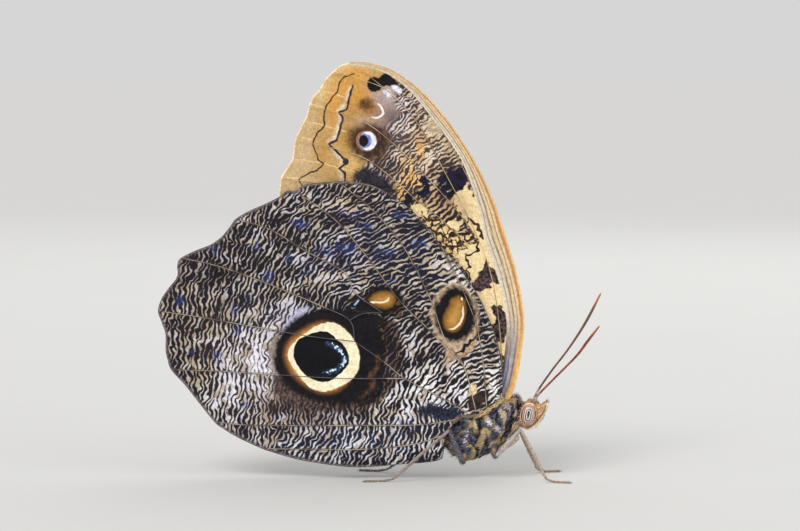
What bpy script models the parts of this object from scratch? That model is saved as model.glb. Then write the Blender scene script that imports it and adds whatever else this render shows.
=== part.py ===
"""Owl butterfly at rest with its wings closed over its back, at life size, in metres with +Z up.

The head points along +X, the animal's left side is +Y, and the floor under its feet is z = 0.
The wings stand in the plane of the body: the hindwings outside, the forewings between them.
Sizes below are in millimetres, and METRES turns them into Blender's units.
"""

import math

import bmesh
import bpy
import numpy as np
from mathutils import Vector
from mathutils.geometry import delaunay_2d_cdt

METRES = 0.001
GAP = 0.3
SIDES = {"right": -1, "left": 1}

# Wing sheets
WING_THICKNESS = 0.5
FOREWING_OFFSET = 0.45
HINDWING_OFFSET = 1.6
ROOT_CENTRE = (21.0, 14.0)
ROOT_SPREAD = 1.85
ROOT_REACH = 9.0
FOLD_SPREAD = 1.3
FOLD_REACH = 4.2
VEIN_STEP = 3.5
EDGE_STEP = 2.0
FILL_STEP = 6.0
FILL_CLEARANCE = 2.2
VEIN_HALF_WIDTH = 0.5
VEIN_TIP_WIDTH = 0.35
VEIN_HEIGHT = 0.35
VEIN_TIP_HEIGHT = 0.2
MERGE_WITHIN = 0.05

# Forewing, as (x, z) in its own plane. Each vein runs from its root to its tip on the margin, which is drawn
# through those tips, named here, and the places between them.
FOREWING_LEADING_EDGE = [
    (25.4, 14.2), (27.4, 19.6), (28.6, 27.0), (28.8, 32.6), (27.6, 40.0), (25.4, 47.6),
    (22.6, 55.8), (18.8, 63.6), (13.6, 71.4), (8.2, 77.4), (3.0, 81.2), (-1.8, 82.9), (-5.6, 83.2),
]
FOREWING_VEINS = {
    "subcosta": [(25.0, 15.6), (26.2, 27.0), (25.6, 38.0), (22.0, 50.0), (16.6, 62.0), (11.0, 72.0), (8.2, 77.4)],
    "radius": [(24.4, 15.4), (24.2, 27.0), (22.6, 39.0), (19.6, 48.0), (13.6, 60.0), (6.0, 73.0), (-5.6, 83.2)],
    "radius_5": [(6.0, 73.0), (0.6, 78.0), (-9.4, 81.2)],
    "media_1": [(19.6, 48.0), (15.0, 54.0), (9.0, 60.6), (3.0, 66.6), (-4.0, 71.6), (-14.2, 74.4)],
    "media_2": [(17.4, 47.0), (12.0, 52.0), (8.0, 55.0), (1.0, 61.2), (-5.0, 64.8), (-17.0, 67.6)],
    "media_3": [(14.6, 43.0), (8.0, 50.0), (-2.0, 57.0), (-19.8, 60.0)],
    "cubitus": [(23.6, 15.4), (21.0, 27.0), (17.6, 37.0), (14.6, 43.0), (17.4, 47.0), (19.6, 48.0)],
    "cubitus_1": [(16.4, 40.0), (4.0, 46.0), (-20.6, 52.4)],
    "cubitus_2": [(19.2, 32.6), (2.0, 40.0), (-19.6, 44.6)],
    "anal": [(22.6, 15.4), (12.0, 24.0), (-2.0, 32.6), (-16.8, 39.0)],
}
FOREWING_MARGIN = [
    (-8.0, 82.4), "radius_5", (-11.0, 79.6), (-12.0, 77.8), (-13.4, 76.1), "media_1", (-14.6, 72.6),
    (-15.2, 71.4), (-16.2, 69.4), "media_2", (-17.2, 66.0), (-17.4, 64.6), (-17.6, 63.6), (-18.6, 62.0),
    "media_3", (-20.1, 58.0), (-20.3, 55.6), "cubitus_1", "cubitus_2", "anal",
]
FOREWING_INNER_EDGE = [(-12.0, 35.4), (-2.0, 30.0), (10.0, 22.4), (18.0, 16.2), (22.0, 12.4)]

# Hindwing, in the same way. Its inner edge wraps the abdomen.
HINDWING_LEADING_EDGE = [
    (24.4, 15.4), (24.6, 20.0), (23.4, 27.6), (20.6, 34.8), (17.2, 40.4), (12.0, 47.0), (6.0, 54.0),
    (0.0, 58.0), (-4.4, 59.2), (-8.4, 59.4),
]
HINDWING_VEINS = {
    "subcosta": [(21.4, 14.4), (20.6, 24.0), (19.0, 31.6), (16.0, 39.0), (12.0, 47.0)],
    "radial_sector": [(19.2, 14.0), (16.8, 22.6), (13.0, 28.0), (10.0, 36.2), (4.6, 46.6), (-1.6, 53.8), (-8.4, 59.4)],
    "media_1": [(16.8, 22.6), (10.0, 29.6), (4.0, 35.6), (-3.2, 45.2), (-9.0, 51.8), (-16.8, 57.4)],
    "media_2": [(0.4, 33.2), (-5.0, 37.2), (-7.0, 41.2), (-15.0, 45.6), (-22.0, 49.8), (-28.8, 51.8)],
    "media_3": [(-5.0, 27.4), (-6.0, 31.6), (-12.0, 34.6), (-23.6, 39.4), (-33.0, 42.6), (-39.8, 44.0)],
    "cubitus": [(17.4, 13.4), (12.0, 16.4), (5.0, 20.0), (1.0, 23.2), (-5.0, 27.4)],
    "cubitus_1": [(-5.0, 27.4), (-14.0, 28.4), (-27.0, 30.6), (-36.0, 32.2), (-44.4, 33.4)],
    "cubitus_2": [(5.0, 20.0), (-8.0, 20.0), (-23.0, 20.8), (-33.0, 21.4), (-41.8, 21.6)],
    "anal_2": [(15.6, 12.0), (8.0, 10.8), (-4.0, 10.6), (-25.0, 10.5), (-33.2, 11.2)],
    "anal_3": [(13.2, 9.0), (6.0, 6.8), (-6.0, 5.8), (-23.6, 5.8)],
    "cell_end": [(-5.0, 27.4), (-6.0, 31.6), (-3.6, 33.2), (0.4, 33.2), (4.6, 31.0)],
}
HINDWING_MARGIN = [
    (-12.0, 59.1), (-15.2, 58.6), "media_1", (-18.4, 57.5), (-20.0, 56.3), (-23.4, 54.6), (-26.4, 53.3),
    "media_2", (-30.0, 50.2), (-31.7, 48.2), (-34.0, 46.6), (-37.0, 45.4), "media_3", (-40.5, 42.6),
    (-40.4, 41.0), (-40.8, 39.8), (-42.3, 37.9), (-43.7, 35.8), "cubitus_1", (-43.7, 31.2), (-42.9, 28.8),
    (-42.9, 25.6), (-42.5, 23.6), "cubitus_2", (-39.0, 18.5), (-36.7, 15.6), "anal_2", (-31.4, 9.8),
    (-28.4, 8.0), "anal_3", (-19.0, 4.3),
]
HINDWING_INNER_EDGE = [
    (-14.0, 3.2), (-5.0, 2.2), (4.0, 2.8), (11.6, 3.6), (12.8, 5.4), (13.2, 8.2), (14.6, 10.8), (17.2, 12.4),
    (20.4, 12.6), (22.8, 13.6), (24.4, 15.4),
]

# Body, as sections across X: x, height of the centre, half height, half width
THORAX_SECTIONS = [
    (13.4, 8.4, 1.6, 1.4), (14.2, 8.3, 3.2, 2.6), (15.8, 8.1, 4.4, 3.5), (17.8, 8.5, 5.2, 4.1),
    (20.2, 9.5, 5.6, 4.3), (22.6, 10.6, 5.4, 4.1), (24.8, 11.5, 4.8, 3.6), (26.6, 12.1, 3.7, 2.9),
    (27.8, 12.6, 2.5, 2.1), (28.3, 12.8, 1.2, 1.0),
]
ABDOMEN_START = (15.0, 8.0)
ABDOMEN_END = (-5.6, 5.9)
ABDOMEN_RADII = [1.5, 2.1, 2.45, 2.5, 2.45, 2.35, 2.15, 1.85, 1.45, 0.9]
ABDOMEN_WAIST = 0.12
HEAD_CENTRE = (30.0, 0.0, 12.8)
HEAD_RADII = (1.9, 2.0, 2.8)
EYE_CENTRE = (29.7, 1.7, 12.8)
EYE_RADII = (1.42, 0.95, 2.05)
ROUND_SIDES = 20

# Palp, as sections along its curve: x, z, half depth in the plane of the body, half width
PALP_Y = 0.85
PALP_SECTIONS = [
    (29.4, 10.4, 0.7, 0.45), (30.6, 10.9, 0.9, 0.55), (31.4, 12.0, 1.0, 0.6), (32.1, 13.2, 1.05, 0.6),
    (32.8, 14.2, 0.85, 0.5), (33.6, 15.1, 0.35, 0.3),
]

ANTENNA_RADII = [0.36, 0.27, 0.25, 0.25, 0.25, 0.25, 0.27, 0.31, 0.34, 0.3, 0.2]
ANTENNA_PATHS = {
    "right": [(30.6, -0.8, 14.6), (31.6, -1.0, 16.6), (34.8, -1.5, 20.0), (39.2, -2.6, 24.6), (41.4, -3.4, 27.6),
              (43.8, -4.2, 30.8)],
    "left": [(30.6, 0.8, 14.6), (31.4, 1.0, 17.0), (34.4, 1.6, 21.4), (37.8, 2.4, 25.8), (41.2, 3.4, 31.0),
             (44.25, 4.4, 36.8)],
}

# Walking legs, as (x, distance out from the middle, z): hip, trochanter, knee, ankle, toe
HIP, TROCHANTER, KNEE, ANKLE, TOE = range(5)
WALKING_LEGS = {
    "midleg_right": [(22.4, 1.6, 7.4), (23.2, 2.7, 4.5), (28.2, 5.2, 10.2), (33.2, 8.6, 0.75), (38.0, 10.2, 0.2)],
    "midleg_left": [(22.4, 1.6, 7.4), (23.2, 2.7, 4.5), (27.6, 5.4, 9.6), (31.6, 8.9, 0.75), (36.2, 10.2, 0.2)],
    "hindleg_right": [(17.0, 1.6, 5.6), (16.6, 3.2, 3.5), (14.0, 5.5, 10.0), (3.2, 8.4, 0.75), (-2.8, 9.6, 0.2)],
    "hindleg_left": [(17.0, 1.6, 5.6), (16.6, 3.2, 3.5), (14.4, 5.6, 9.6), (1.4, 8.8, 0.75), (-4.6, 10.2, 0.2)],
}
COXA_RADII = (0.95, 0.7)
FEMUR_RADII = (0.5, 0.62, 0.55, 0.4)
TIBIA_RADII = (0.36, 0.42, 0.38, 0.34)
TARSUS_RADII = (0.32, 0.3, 0.28)
TARSUS_FLAT_FROM = 0.25
FORELEG_PATH = [(25.4, 1.2, 9.4), (25.9, 1.5, 7.2), (27.8, 1.5, 8.1)]
FORELEG_FOLD = [(27.8, 1.5, 8.1), (26.6, 1.6, 6.9), (25.2, 1.7, 6.1)]
FORELEG_RADII = (0.6, 0.42, 0.34)
FOLD_RADII = (0.34, 0.28, 0.25)

COLOURS = {
    "wing": ((0.33, 0.27, 0.22, 1.0), 0.75),
    "body": ((0.20, 0.16, 0.14, 1.0), 0.85),
    "head": ((0.55, 0.33, 0.16, 1.0), 0.85),
    "eye": ((0.42, 0.30, 0.26, 1.0), 0.25),
    "antenna": ((0.30, 0.12, 0.05, 1.0), 0.6),
    "leg": ((0.40, 0.33, 0.26, 1.0), 0.7),
}


def clear_scene():
    for thing in list(bpy.data.objects):
        bpy.data.objects.remove(thing, do_unlink=True)


def new_collection(name):
    collection = bpy.data.collections.new(name)
    bpy.context.scene.collection.children.link(collection)
    return collection


def material(name):
    made = bpy.data.materials.get(name)
    if made is None:
        colour, roughness = COLOURS[name]
        made = bpy.data.materials.new(name)
        made.use_nodes = True
        shader = made.node_tree.nodes["Principled BSDF"]
        shader.inputs["Base Color"].default_value = colour
        shader.inputs["Roughness"].default_value = roughness
        shader.inputs["Metallic"].default_value = 0.0
    return made


def face_outwards(cage):
    """Turns the faces of a closed surface one way, and that way outwards."""
    bmesh.ops.recalc_face_normals(cage, faces=cage.faces)
    if cage.calc_volume(signed=True) < 0:
        bmesh.ops.reverse_faces(cage, faces=cage.faces)


def mesh_object(name, points, faces, finish, collection):
    """One closed mesh from points in millimetres, with its faces turned outwards."""
    mesh = bpy.data.meshes.new(name)
    mesh.from_pydata([Vector(p) * METRES for p in points], [], faces)
    cage = bmesh.new()
    cage.from_mesh(mesh)
    bmesh.ops.remove_doubles(cage, verts=cage.verts, dist=1e-7)
    face_outwards(cage)
    cage.to_mesh(mesh)
    cage.free()
    mesh.materials.append(material(finish))
    made = bpy.data.objects.new(name, mesh)
    collection.objects.link(made)
    return made


def through(points, step):
    """Points about a step apart on a smooth curve that runs through all the given ones."""
    points = np.array(points, float)
    ends = np.vstack([2 * points[0] - points[1], points, 2 * points[-1] - points[-2]])
    curve = []
    for before, start, end, after in zip(ends, ends[1:], ends[2:], ends[3:]):
        count = max(1, round(float(np.linalg.norm(end - start)) / step))
        for t in np.arange(count) / count:
            curve.append(
                0.5 * (2 * start + (end - before) * t
                       + (2 * before - 5 * start + 4 * end - after) * t ** 2
                       + (3 * start - before - 3 * end + after) * t ** 3)
            )
    return np.array(curve + [points[-1]])


def ellipse_ring(centre, across, up, half_across, half_up, sides):
    """A ring of points about a centre, spanned by two unit directions."""
    turns = [2 * math.pi * k / sides for k in range(sides)]
    return [centre + across * half_across * math.cos(a) + up * half_up * math.sin(a) for a in turns]


def loft(name, rings, finish, collection):
    """One closed solid through rings of equal count, with a fan of faces over each end."""
    sides = len(rings[0])
    points = [p for ring in rings for p in ring]
    faces = []
    for level in range(len(rings) - 1):
        low, high = level * sides, (level + 1) * sides
        faces += [(low + k, low + (k + 1) % sides, high + (k + 1) % sides, high + k) for k in range(sides)]
    for level in (0, len(rings) - 1):
        points.append(sum(rings[level], Vector()) / sides)
        faces += [(level * sides + k, level * sides + (k + 1) % sides, len(points) - 1) for k in range(sides)]
    return mesh_object(name, points, faces, finish, collection)


def ellipsoid(name, centre, radii, finish, collection):
    mesh = bpy.data.meshes.new(name)
    cage = bmesh.new()
    bmesh.ops.create_uvsphere(cage, u_segments=ROUND_SIDES, v_segments=ROUND_SIDES // 2, radius=1.0)
    bmesh.ops.scale(cage, vec=Vector(radii) * METRES, verts=cage.verts)
    bmesh.ops.translate(cage, vec=Vector(centre) * METRES, verts=cage.verts)
    cage.to_mesh(mesh)
    cage.free()
    mesh.materials.append(material(finish))
    made = bpy.data.objects.new(name, mesh)
    collection.objects.link(made)
    return made


def tube(name, path, radii, finish, collection, step=2.0, roundness=1):
    """A tapering tube along a smooth curve through the path, as a mesh."""
    points = through(path, step)
    along = np.linspace(0, len(radii) - 1, len(points))
    widths = np.interp(along, range(len(radii)), radii)
    curve = bpy.data.curves.new(name, "CURVE")
    curve.dimensions = "3D"
    curve.bevel_depth = METRES
    curve.bevel_resolution = roundness
    curve.use_fill_caps = True
    spline = curve.splines.new("POLY")
    spline.points.add(len(points) - 1)
    for spot, point, width in zip(spline.points, points, widths):
        spot.co = (*(point * METRES), 1.0)
        spot.radius = width
    guide = bpy.data.objects.new(name + "_guide", curve)
    collection.objects.link(guide)
    graph = bpy.context.evaluated_depsgraph_get()
    mesh = bpy.data.meshes.new_from_object(guide.evaluated_get(graph))
    bpy.data.objects.remove(guide)
    cage = bmesh.new()
    cage.from_mesh(mesh)
    bmesh.ops.remove_doubles(cage, verts=cage.verts, dist=1e-6)
    face_outwards(cage)
    cage.to_mesh(mesh)
    cage.free()
    mesh.materials.clear()
    mesh.materials.append(material(finish))
    made = bpy.data.objects.new(name, mesh)
    collection.objects.link(made)
    return made


def keep_largest(mesh):
    """Leaves only the closed surface with the most faces, and drops any scrap that a cut made."""
    cage = bmesh.new()
    cage.from_mesh(mesh)
    seen = set()
    islands = []
    for first in cage.verts:
        if first in seen:
            continue
        seen.add(first)
        island = [first]
        for vert in island:
            near = [edge.other_vert(vert) for edge in vert.link_edges]
            near = [other for other in near if other not in seen]
            seen.update(near)
            island += near
        islands.append(island)
    islands.sort(key=len)
    for island in islands[:-1]:
        bmesh.ops.delete(cage, geom=island, context="VERTS")
    face_outwards(cage)
    cage.to_mesh(mesh)
    cage.free()


def combine(target, others, operation, solver="EXACT"):
    """Unites the target with the other closed objects, or cuts them from it, and applies the result."""
    for other in others:
        modifier = target.modifiers.new(other.name, "BOOLEAN")
        modifier.operation = operation
        modifier.solver = solver
        modifier.object = other
    graph = bpy.context.evaluated_depsgraph_get()
    mesh = bpy.data.meshes.new_from_object(target.evaluated_get(graph))
    target.modifiers.clear()
    target.data = mesh
    keep_largest(mesh)


def unite(target, others):
    combine(target, others, "UNION")
    for other in others:
        bpy.data.objects.remove(other)


# Wings


def near_curve(spots, curve):
    """For each spot, its distance to a polyline and how far along the line that nearest place is, from 0 to 1."""
    start, end = curve[:-1], curve[1:]
    along = end - start
    share = ((spots[:, None] - start) * along).sum(-1) / np.maximum((along ** 2).sum(-1), 1e-12)
    share = share.clip(0, 1)
    away = np.linalg.norm(spots[:, None] - start - share[..., None] * along, axis=-1)
    nearest = away.argmin(1)
    rows = np.arange(len(spots))
    return away[rows, nearest], (nearest + share[rows, nearest]) / len(start)


def sheet_offset(spots, offset, fold):
    """Distance of a wing's middle surface from the plane of the body: wide at the root and round the abdomen."""
    away = np.linalg.norm(spots - ROOT_CENTRE, axis=1)
    offsets = offset + ROOT_SPREAD * np.exp(-((away / ROOT_REACH) ** 2))
    beside, _ = near_curve(spots, np.array([ABDOMEN_START, ABDOMEN_END]))
    return offsets + fold * np.exp(-((beside / FOLD_REACH) ** 2))


def wing_outline(leading_edge, veins, margin, inner_edge):
    """The closed outline: leading edge, then the margin through the vein tips that it names, then inner edge."""
    places = [veins[place][-1] if isinstance(place, str) else place for place in margin]
    outer = through([leading_edge[-1], *places], EDGE_STEP)
    inner = through([places[-1], *inner_edge], EDGE_STEP)
    return np.vstack([through(leading_edge, EDGE_STEP), outer[1:], inner[1:]])


def inside(spots, outline):
    """Which spots lie inside a closed outline."""
    x, z = spots[:, 0], spots[:, 1]
    found = np.zeros(len(spots), bool)
    for (x0, z0), (x1, z1) in zip(outline, np.roll(outline, -1, axis=0)):
        crosses = (z0 > z) != (z1 > z)
        if z1 != z0:
            found ^= crosses & (x < (x1 - x0) * (z - z0) / (z1 - z0) + x0)
    return found


def vein_sides(curve):
    """The two lines where a vein's ridge meets the membrane, short of both its ends."""
    tangent = np.gradient(curve, axis=0)
    tangent /= np.linalg.norm(tangent, axis=1)[:, None]
    normal = np.stack([-tangent[:, 1], tangent[:, 0]], axis=1)
    width = np.linspace(VEIN_HALF_WIDTH, VEIN_TIP_WIDTH, len(curve))[:, None]
    return [(curve + side * normal * width)[1:-1] for side in (-1, 1)]


def wing_plan(leading_edge, veins, margin, inner_edge):
    """The wing's triangles in its own plane, and how high the veins stand at each point."""
    outline = wing_outline(leading_edge, veins, margin, inner_edge)
    curves = [through(points, VEIN_STEP) for points in veins.values()]
    lines = curves + [line for curve in curves for line in vein_sides(curve) if len(line) > 1]
    low, high = outline.min(0), outline.max(0)
    rows = np.arange(low[1], high[1], FILL_STEP * 0.87)
    fill = np.array([
        (x + (k % 2) * FILL_STEP / 2, z) for k, z in enumerate(rows) for x in np.arange(low[0], high[0], FILL_STEP)
    ])
    closed = np.vstack([outline, outline[:1]])
    clear = np.min([near_curve(fill, line)[0] for line in [closed, *curves]], axis=0)
    fill = fill[inside(fill, outline) & (clear > FILL_CLEARANCE)]
    points = [Vector(p) for p in outline]
    edges = []
    for line in lines:
        kept = line[inside(line, outline) | (near_curve(line, closed)[0] < MERGE_WITHIN)]
        edges += [(len(points) + k, len(points) + k + 1) for k in range(len(kept) - 1)]
        points += [Vector(p) for p in kept]
    points += [Vector(p) for p in fill]
    spots, _, faces, *_ = delaunay_2d_cdt(points, edges, [list(range(len(outline)))], 1, MERGE_WITHIN)
    spots = np.array([tuple(p) for p in spots])
    ridge = np.zeros(len(spots))
    for curve in curves:
        away, along = near_curve(spots, curve)
        width = VEIN_HALF_WIDTH + (VEIN_TIP_WIDTH - VEIN_HALF_WIDTH) * along
        height = VEIN_HEIGHT + (VEIN_TIP_HEIGHT - VEIN_HEIGHT) * along
        ridge = np.maximum(ridge, height * (1 - away / width))
    return spots, [tuple(face) for face in faces], ridge.clip(0)


def wing(name, plan, side, offset, fold, collection):
    """A wing sheet with the same triangles on both faces, its veins raised on the outer one."""
    spots, faces, ridge = plan
    middle = sheet_offset(spots, offset, fold)
    outer = middle + WING_THICKNESS / 2 + ridge
    inner = middle - WING_THICKNESS / 2
    points = [(x, side * y, z) for (x, z), y in zip(spots, outer)]
    points += [(x, side * y, z) for (x, z), y in zip(spots, inner)]
    count = len(spots)
    used = {}
    for face in faces:
        for start, end in zip(face, face[1:] + face[:1]):
            used.setdefault(frozenset((start, end)), []).append((start, end))
    rim = [pairs[0] for pairs in used.values() if len(pairs) == 1]
    skins = faces + [tuple(count + k for k in reversed(face)) for face in faces]
    skins += [(end, start, count + start, count + end) for start, end in rim]
    return mesh_object(name, points, skins, "wing", collection)


# Body


def thorax(name, grow, collection):
    rings = [
        ellipse_ring(Vector((x, 0, z)), Vector((0, 1, 0)), Vector((0, 0, 1)), wide + grow, high + grow, ROUND_SIDES)
        for x, z, high, wide in THORAX_SECTIONS
    ]
    for ring, outward in ((rings[0], -grow), (rings[-1], grow)):
        for point in ring:
            point.x += outward
    return loft(name, rings, "body", collection)


def abdomen(name, collection):
    """Nine rings that bulge between narrow waists, from the thorax to a blunt tip."""
    start = Vector((ABDOMEN_START[0], 0, ABDOMEN_START[1]))
    end = Vector((ABDOMEN_END[0], 0, ABDOMEN_END[1]))
    across = Vector((0, 1, 0))
    up = across.cross(start - end).normalized()
    if up.z < 0:
        up = -up
    segments = len(ABDOMEN_RADII) - 1
    rings = []
    for step in range(2 * segments + 1):
        share = step / (2 * segments)
        radius = float(np.interp(share * segments, range(segments + 1), ABDOMEN_RADII))
        radius += ABDOMEN_WAIST if step % 2 else -ABDOMEN_WAIST
        rings.append(ellipse_ring(start.lerp(end, share), across, up, radius, radius, 16))
    return loft(name, rings, "body", collection)


def head(name, grow, collection):
    return ellipsoid(name, HEAD_CENTRE, [radius + grow for radius in HEAD_RADII], "head", collection)


def eye(name, side, grow, collection):
    x, y, z = EYE_CENTRE
    return ellipsoid(name, (x, side * y, z), [radius + grow for radius in EYE_RADII], "eye", collection)


def palp(name, side, collection):
    """A flat, upturned mouth feeler with a pointed tip."""
    path = np.array([section[:2] for section in PALP_SECTIONS])
    tangent = np.gradient(path, axis=0)
    rings = []
    for (x, z, depth, width), (dx, dz) in zip(PALP_SECTIONS, tangent):
        across = Vector((-dz, 0, dx)).normalized()
        rings.append(ellipse_ring(Vector((x, side * PALP_Y, z)), across, Vector((0, 1, 0)), depth, width, 12))
    return loft(name, rings, "head", collection)


# Legs


def out_to(side, points):
    """Leg points with their distance out from the middle turned to the given side."""
    return [(x, side * y, z) for x, y, z in points]


def walking_leg(name, side, collection):
    """Coxa, femur, tibia and a tarsus that lies on the floor."""
    spots = out_to(side, WALKING_LEGS[name])
    coxa = tube(name, spots[HIP:KNEE], COXA_RADII, "leg", collection, roundness=2)
    femur = tube(name + "_femur", spots[TROCHANTER:ANKLE], FEMUR_RADII, "leg", collection, roundness=2)
    tibia = tube(name + "_tibia", spots[KNEE:TOE], TIBIA_RADII, "leg", collection, step=4.0)
    flat_start = np.array(spots[ANKLE]) + TARSUS_FLAT_FROM * (np.array(spots[TOE]) - spots[ANKLE])
    flat_start[2] = spots[TOE][2]
    tarsus = tube(name + "_tarsus", [spots[ANKLE], flat_start, spots[TOE]], TARSUS_RADII, "leg", collection)
    unite(coxa, [femur, tibia, tarsus])
    return coxa


def foreleg(name, side, collection):
    """The small front leg, folded against the chest and never used for walking."""
    upper = tube(name, out_to(side, FORELEG_PATH), FORELEG_RADII, "leg", collection)
    lower = tube(name + "_fold", out_to(side, FORELEG_FOLD), FOLD_RADII, "leg", collection)
    unite(upper, [lower])
    return upper


def floor_cutter(collection):
    """A slab whose top is the floor, which gives each foot its small flat."""
    mesh = bpy.data.meshes.new("floor_cutter")
    cage = bmesh.new()
    bmesh.ops.create_cube(cage, size=1.0)
    bmesh.ops.scale(cage, vec=(0.2, 0.1, 0.01), verts=cage.verts)
    bmesh.ops.translate(cage, vec=(0.0, 0.0, -0.005), verts=cage.verts)
    cage.to_mesh(mesh)
    cage.free()
    made = bpy.data.objects.new("floor_cutter", mesh)
    collection.objects.link(made)
    return made


def main():
    clear_scene()
    parts = new_collection("owl_butterfly")
    cutters = new_collection("cutters")

    thorax("thorax", 0.0, parts)
    thorax_room = thorax("thorax_room", GAP, cutters)
    head_piece = head("head", 0.0, parts)
    head_room = head("head_room", GAP, cutters)
    floor = floor_cutter(cutters)
    combine(head_piece, [thorax_room], "DIFFERENCE")
    combine(abdomen("abdomen", parts), [thorax_room], "DIFFERENCE")

    forewing = wing_plan(FOREWING_LEADING_EDGE, FOREWING_VEINS, FOREWING_MARGIN, FOREWING_INNER_EDGE)
    hindwing = wing_plan(HINDWING_LEADING_EDGE, HINDWING_VEINS, HINDWING_MARGIN, HINDWING_INNER_EDGE)
    for word, side in SIDES.items():
        eye_room = eye("eye_room_" + word, side, GAP, cutters)
        eye("eye_" + word, side, 0.0, parts)
        combine(head_piece, [eye_room], "DIFFERENCE")
        combine(palp("palp_" + word, side, parts), [head_room, eye_room], "DIFFERENCE")
        antenna = tube("antenna_" + word, ANTENNA_PATHS[word], ANTENNA_RADII, "antenna", parts, step=2.2)
        combine(antenna, [head_room], "DIFFERENCE")
        fore = wing("forewing_" + word, forewing, side, FOREWING_OFFSET, 0.0, parts)
        hind = wing("hindwing_" + word, hindwing, side, HINDWING_OFFSET, FOLD_SPREAD, parts)
        combine(fore, [thorax_room], "DIFFERENCE")
        combine(hind, [thorax_room], "DIFFERENCE")
        combine(foreleg("foreleg_" + word, side, parts), [thorax_room], "DIFFERENCE")
        for pair in ("midleg_", "hindleg_"):
            combine(walking_leg(pair + word, side, parts), [thorax_room, floor], "DIFFERENCE")

    for cutter in cutters.objects:
        cutter.hide_render = True
        cutter.display_type = "WIRE"


main()
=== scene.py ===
"""Looks of the owl butterfly: scaled wings, furred body, eyes, feelers and legs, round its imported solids.

Lengths are in millimetres until a mesh is made, and MM turns them into metres. The head points along +X,
+Y is the animal's left side, and the floor is z = 0. A wing is drawn flat, as (x, z), then bent to shape.
"""

import math

import bmesh
import bpy
import numpy as np
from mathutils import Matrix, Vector
from mathutils.geometry import delaunay_2d_cdt


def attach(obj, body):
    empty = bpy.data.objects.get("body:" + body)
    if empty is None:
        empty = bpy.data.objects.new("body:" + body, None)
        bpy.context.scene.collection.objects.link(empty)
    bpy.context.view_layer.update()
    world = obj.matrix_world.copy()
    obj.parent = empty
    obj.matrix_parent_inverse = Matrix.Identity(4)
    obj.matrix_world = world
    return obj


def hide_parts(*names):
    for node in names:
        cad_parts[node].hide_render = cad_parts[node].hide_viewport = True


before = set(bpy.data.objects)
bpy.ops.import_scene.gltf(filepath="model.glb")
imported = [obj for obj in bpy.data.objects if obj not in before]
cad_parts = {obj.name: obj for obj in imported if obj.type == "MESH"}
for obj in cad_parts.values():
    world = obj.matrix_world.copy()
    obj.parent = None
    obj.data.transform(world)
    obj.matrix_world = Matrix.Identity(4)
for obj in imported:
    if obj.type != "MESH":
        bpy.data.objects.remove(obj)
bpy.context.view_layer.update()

MM = 0.001
SIDES = {"right": -1, "left": 1}

# Camera and light, in metres
LOOK_AT = (0.004, 0.0, 0.0425)
CAMERA_DISTANCE = 0.70
CAMERA_AZIMUTH = 2.0
CAMERA_ELEVATION = 3.0
CAMERA_LENS = 157.5
CAMERA_NEAREST = 0.01
FLOOR_RADIUS = 40.0
FLOOR_DROP = 0.00002
FLOOR_COLOURS = ((0.665, 0.66, 0.65), (0.69, 0.685, 0.675))
WORLD_COLOUR = (0.885, 0.887, 0.885, 1.0)
WORLD_STRENGTH = 0.76
# The sun is wide, for soft shadows, and it lights the far floor as brightly as the world behind it
SUN_PLACE = (-0.35, -0.75, 0.75)
SUN_STRENGTH = 1.55
SUN_WIDTH = 0.5
SUN_COLOUR = (1.0, 0.985, 0.965)
# Name, place, width, watts, colour
LIGHTS = [
    ("fill", (0.75, -0.60, 0.35), 0.8, 1.5, (0.96, 0.98, 1.0)),
    ("back", (0.25, 0.80, 0.70), 0.8, 1.5, (0.97, 1.0, 0.97)),
]

# Tables are written as text: commas join the numbers of a place or a colour, and semicolons part the rows


def word(text):
    """A name, a number, or a tuple of numbers joined by commas."""
    if text[0].isalpha():
        return text
    numbers = tuple(float(number) for number in text.split(","))
    return numbers if len(numbers) > 1 else numbers[0]


def row(text):
    return [word(part) for part in text.split()]


def rows(text):
    return [row(part) for part in text.split(";")]


def named(text):
    """One row a line, by the name that it starts with."""
    return {name: values for name, *values in map(row, text.strip().splitlines())}


# Wing sheets, bent as in the solids
SHEET_THICKNESS = 0.26
OUTER_STEP = 0.2
INNER_STEP = 1.6
FOREWING_OFFSET = 0.45
HINDWING_OFFSET = 1.6
ROOT_CENTRE = (21.0, 14.0)
ROOT_SPREAD = 1.85
ROOT_REACH = 9.0
FOLD_SPREAD = 1.3
FOLD_REACH = 4.2
ABDOMEN_START = (15.0, 8.0)
ABDOMEN_END = (-5.6, 5.9)
EDGE_STEP = 0.3
VEIN_STEP = 1.0
VEIN_SWELL = 0.16
VEIN_REACH = 0.45
VEIN_WIDTH = (0.085, 0.05)
VEIN_RISE = 0.07
VEIN_SIDES = 6
VEIN_END_GAP = 0.12
# The membrane bows out between the veins and is a little uneven
MEMBRANE_BOW = 0.14
BOW_REACH = 2.4
MEMBRANE_WAVE = 0.07
MEMBRANE_WAVE_SIZE = 3.5

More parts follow.
